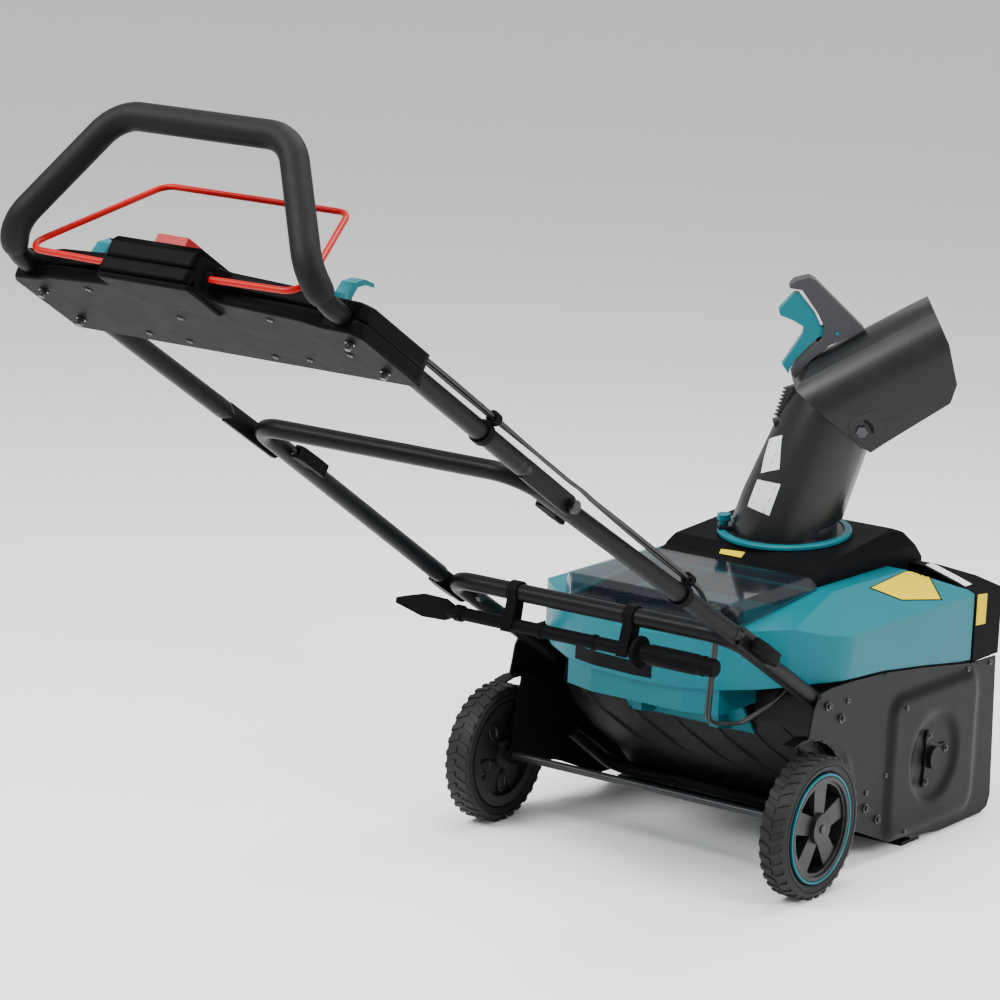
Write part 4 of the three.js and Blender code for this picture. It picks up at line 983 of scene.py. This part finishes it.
# ---- wheels ------------------------------------------------------------------------------
# Solid moulded tyres with chevron blocks on black five spoked rims, each with a teal
# trim ring, running on a plain axle plated in black zinc.
tyre_rubber = moulded("tyre_rubber", (0.0062, 0.0062, 0.0065), 0.58, 420, 0.00025, 0.22, sheen=0.25)
rim_moulding = moulded("rim_moulding", (0.007, 0.0072, 0.008), 0.42, 900, 0.00012, sheen=0.3)
treads = Growth("treads", [
    ("Block", "Object"), ("Count", "Int"), ("Radius", "Float"), ("Offset", "Float"), ("Phase", "Float"),
    ("Across", "Float"), ("Height", "Float"), ("Finish", "Material"),
])
angle = treads.node("GeometryNodeInputIndex") * (2 * math.pi) * treads.node(
    "ShaderNodeMath", {"operation": "DIVIDE"}, {0: 1.0, 1: treads.given("Count")},
) + treads.given("Phase")
sine = treads.node("ShaderNodeMath", {"operation": "SINE"}, {0: angle})
cosine = treads.node("ShaderNodeMath", {"operation": "COSINE"}, {0: angle})
ring_spot = treads.node("ShaderNodeCombineXYZ", None, {
    0: treads.given("Across"),
    1: sine * treads.given("Radius") + treads.given("Offset"),
    2: cosine * treads.given("Radius") + treads.given("Height"),
})
spots = treads.node("GeometryNodePoints", None, {"Count": treads.given("Count"), "Position": ring_spot})
block_turn = treads.node("ShaderNodeCombineXYZ", None, {0: 0 - angle, 1: 0.0, 2: 0.0})
block = treads.node("GeometryNodeObjectInfo", None, {"Object": treads.given("Block")}, "Geometry")
treads.end(treads.node("GeometryNodeInstanceOnPoints", None, {
    "Points": spots, "Instance": block,
    "Rotation": treads.node("FunctionNodeEulerToRotation", None, {"Euler": block_turn}),
}))


def tread_block(name, lean):
    """One slanted block, 17 mm across the tread, standing on its ring."""
    low, high = [], []
    for u, v in ((-9, -4.8), (9, -4.8), (9, 4.8), (-9, 4.8)):
        low.append(Vector((u, v + u * lean, -1.5)) / 1000)
        high.append(Vector((u * 0.92, v * 0.8 + u * lean, 1.8)) / 1000)
    return template(name, Form().rings([low, high]))


blocks = {1: tread_block("block_right_hand", 0.45), -1: tread_block("block_left_hand", -0.45)}
oval = template("oval_boss", Form().rings([
    [Vector((x / 1000, 10.5 * k * math.cos(a) / 1000, 17 * k * math.sin(a) / 1000))
     for a in (2 * math.pi * i / 24 for i in range(24))]
    for x, k in ((0, 1.0), (3.4, 0.96), (4.2, 0.86), (4.2, 0.7), (2.2, 0.6))
]))
holder_mesh = bpy.data.meshes.new("empty_base")
for side, name in ((1, "right"), (-1, "left")):
    wheel = "wheel_" + name
    axle = place(0, 0, 101.5)
    tyre = Form().turned([
        (80.6, 250), (84, 247.6), (88, 246.9), (89, 248.4), (91, 248.4), (92, 246.8), (95.5, 247.4),
        (98.6, 250.4),
        (99.7, 256), (99.7, 279.5), (98.6, 285.2), (95.5, 288.1), (92, 288.8), (91, 287.2), (89, 287.2),
        (88, 288.7), (84, 288), (80.6, 285.5),
    ], axle, (side, 0, 0), 96, closed=True)
    tyre.build("tyre_body_" + name, tyre_rubber, wheel, "tyre", ["tyre_" + name])
    for row, across in ((1, 277.5), (-1, 258)):
        treads.run("tread_" + name + ("_outer" if row == 1 else "_inner"), holder_mesh.copy(), {
            "Block": blocks[row], "Count": 34, "Radius": 0.0997, "Offset": axle.y, "Height": axle.z,
            "Phase": 0.0924 * (row == 1), "Across": axle.x + side * across / 1000, "Finish": tyre_rubber,
        }, wheel, "tyre")
    skin("rim_" + name, rim_moulding, 1.0)
    trim = Form().turned([
        (75.2, 286.4), (78.4, 286.4), (78.4, 289.0), (77.6, 289.7), (76, 289.7), (75.2, 289.0),
    ], axle, (side, 0, 0), 96, closed=True)
    trim.build("trim_ring_" + name, teal_moulding, wheel, "teal_plastic", ["rim_ring_" + name])
    bead = Form().turned([
        (68.2, 286.4), (74.9, 286.4), (74.9, 288.2), (73, 289.2), (70, 289.2), (68.2, 288.2),
    ], axle, (side, 0, 0), 96, closed=True)
    bead.build("rim_bead_" + name, rim_moulding, wheel, "black_plastic")
    treads.run("rim_pockets_" + name, holder_mesh.copy(), {
        "Block": oval, "Count": 5, "Radius": 0.044, "Offset": axle.y, "Height": axle.z, "Phase": 0.63,
        "Across": axle.x + side * 262.6 / 1000 - side * 0.0042, "Finish": rim_moulding,
    }, wheel, "black_plastic")
skin("axle_rod", black_zinc, 0.6)

# ---- clean out tool ---------------------------------------------------------------------
# A black moulded stick with a flat blade, a hand guard and a ridged grip, held in two
# snap clips under the top bar of the lower frame.
skin("tool_clip_left", black_moulding, 0.9)
skin("tool_clip_right", black_moulding, 0.9)
stick_line = place(0, -191, 354)
stick = Form().turned([
    (0.1, -224), (8.6, -224), (9.5, -222), (9.5, -213), (12, -212), (12, -200.5), (9.5, -199.5),
    (9.5, -70), (11.4, -69), (11.4, -63), (9.5, -62), (9.5, 20), (11.2, 21), (11.2, 26), (9.5, 27),
    (9.5, 91), (16, 93.5), (22.6, 94.6), (23, 97), (22.6, 100.4), (12.5, 101.4), (12, 113),
    (13.8, 114), (14.5, 118), (14.5, 190), (13.2, 195), (13.2, 198), (14.2, 199), (14.2, 204),
    (12.9, 205), (12.9, 218), (11.4, 221.5), (0.1, 222),
], stick_line, (1, 0, 0), 40)
stick.plate([
    place(x, -194, z) for x, z in (
        (-318, 350), (-317, 358), (-300, 363), (-270, 371), (-230, 370), (-217, 364), (-217, 345),
        (-230, 339.5), (-270, 338),
    )
], Vector((0, 0.006, 0)))
for z in (349, 354, 359):
    stick.tube([place(-300, -191, z), place(-217, -191, z)], [1.5, 4.6], 10)
stick.build(
    "clean_out_stick", black_moulding, "clean_out_tool", "black_plastic", ["cleaning_tool"], edge=0.5,
)

for shape in [o for o in bpy.data.objects if o.name in (
    "bolt_stud", "screw_stud", "clamp_stud", "block_right_hand", "block_left_hand", "oval_boss",
)]:
    bpy.data.objects.remove(shape)
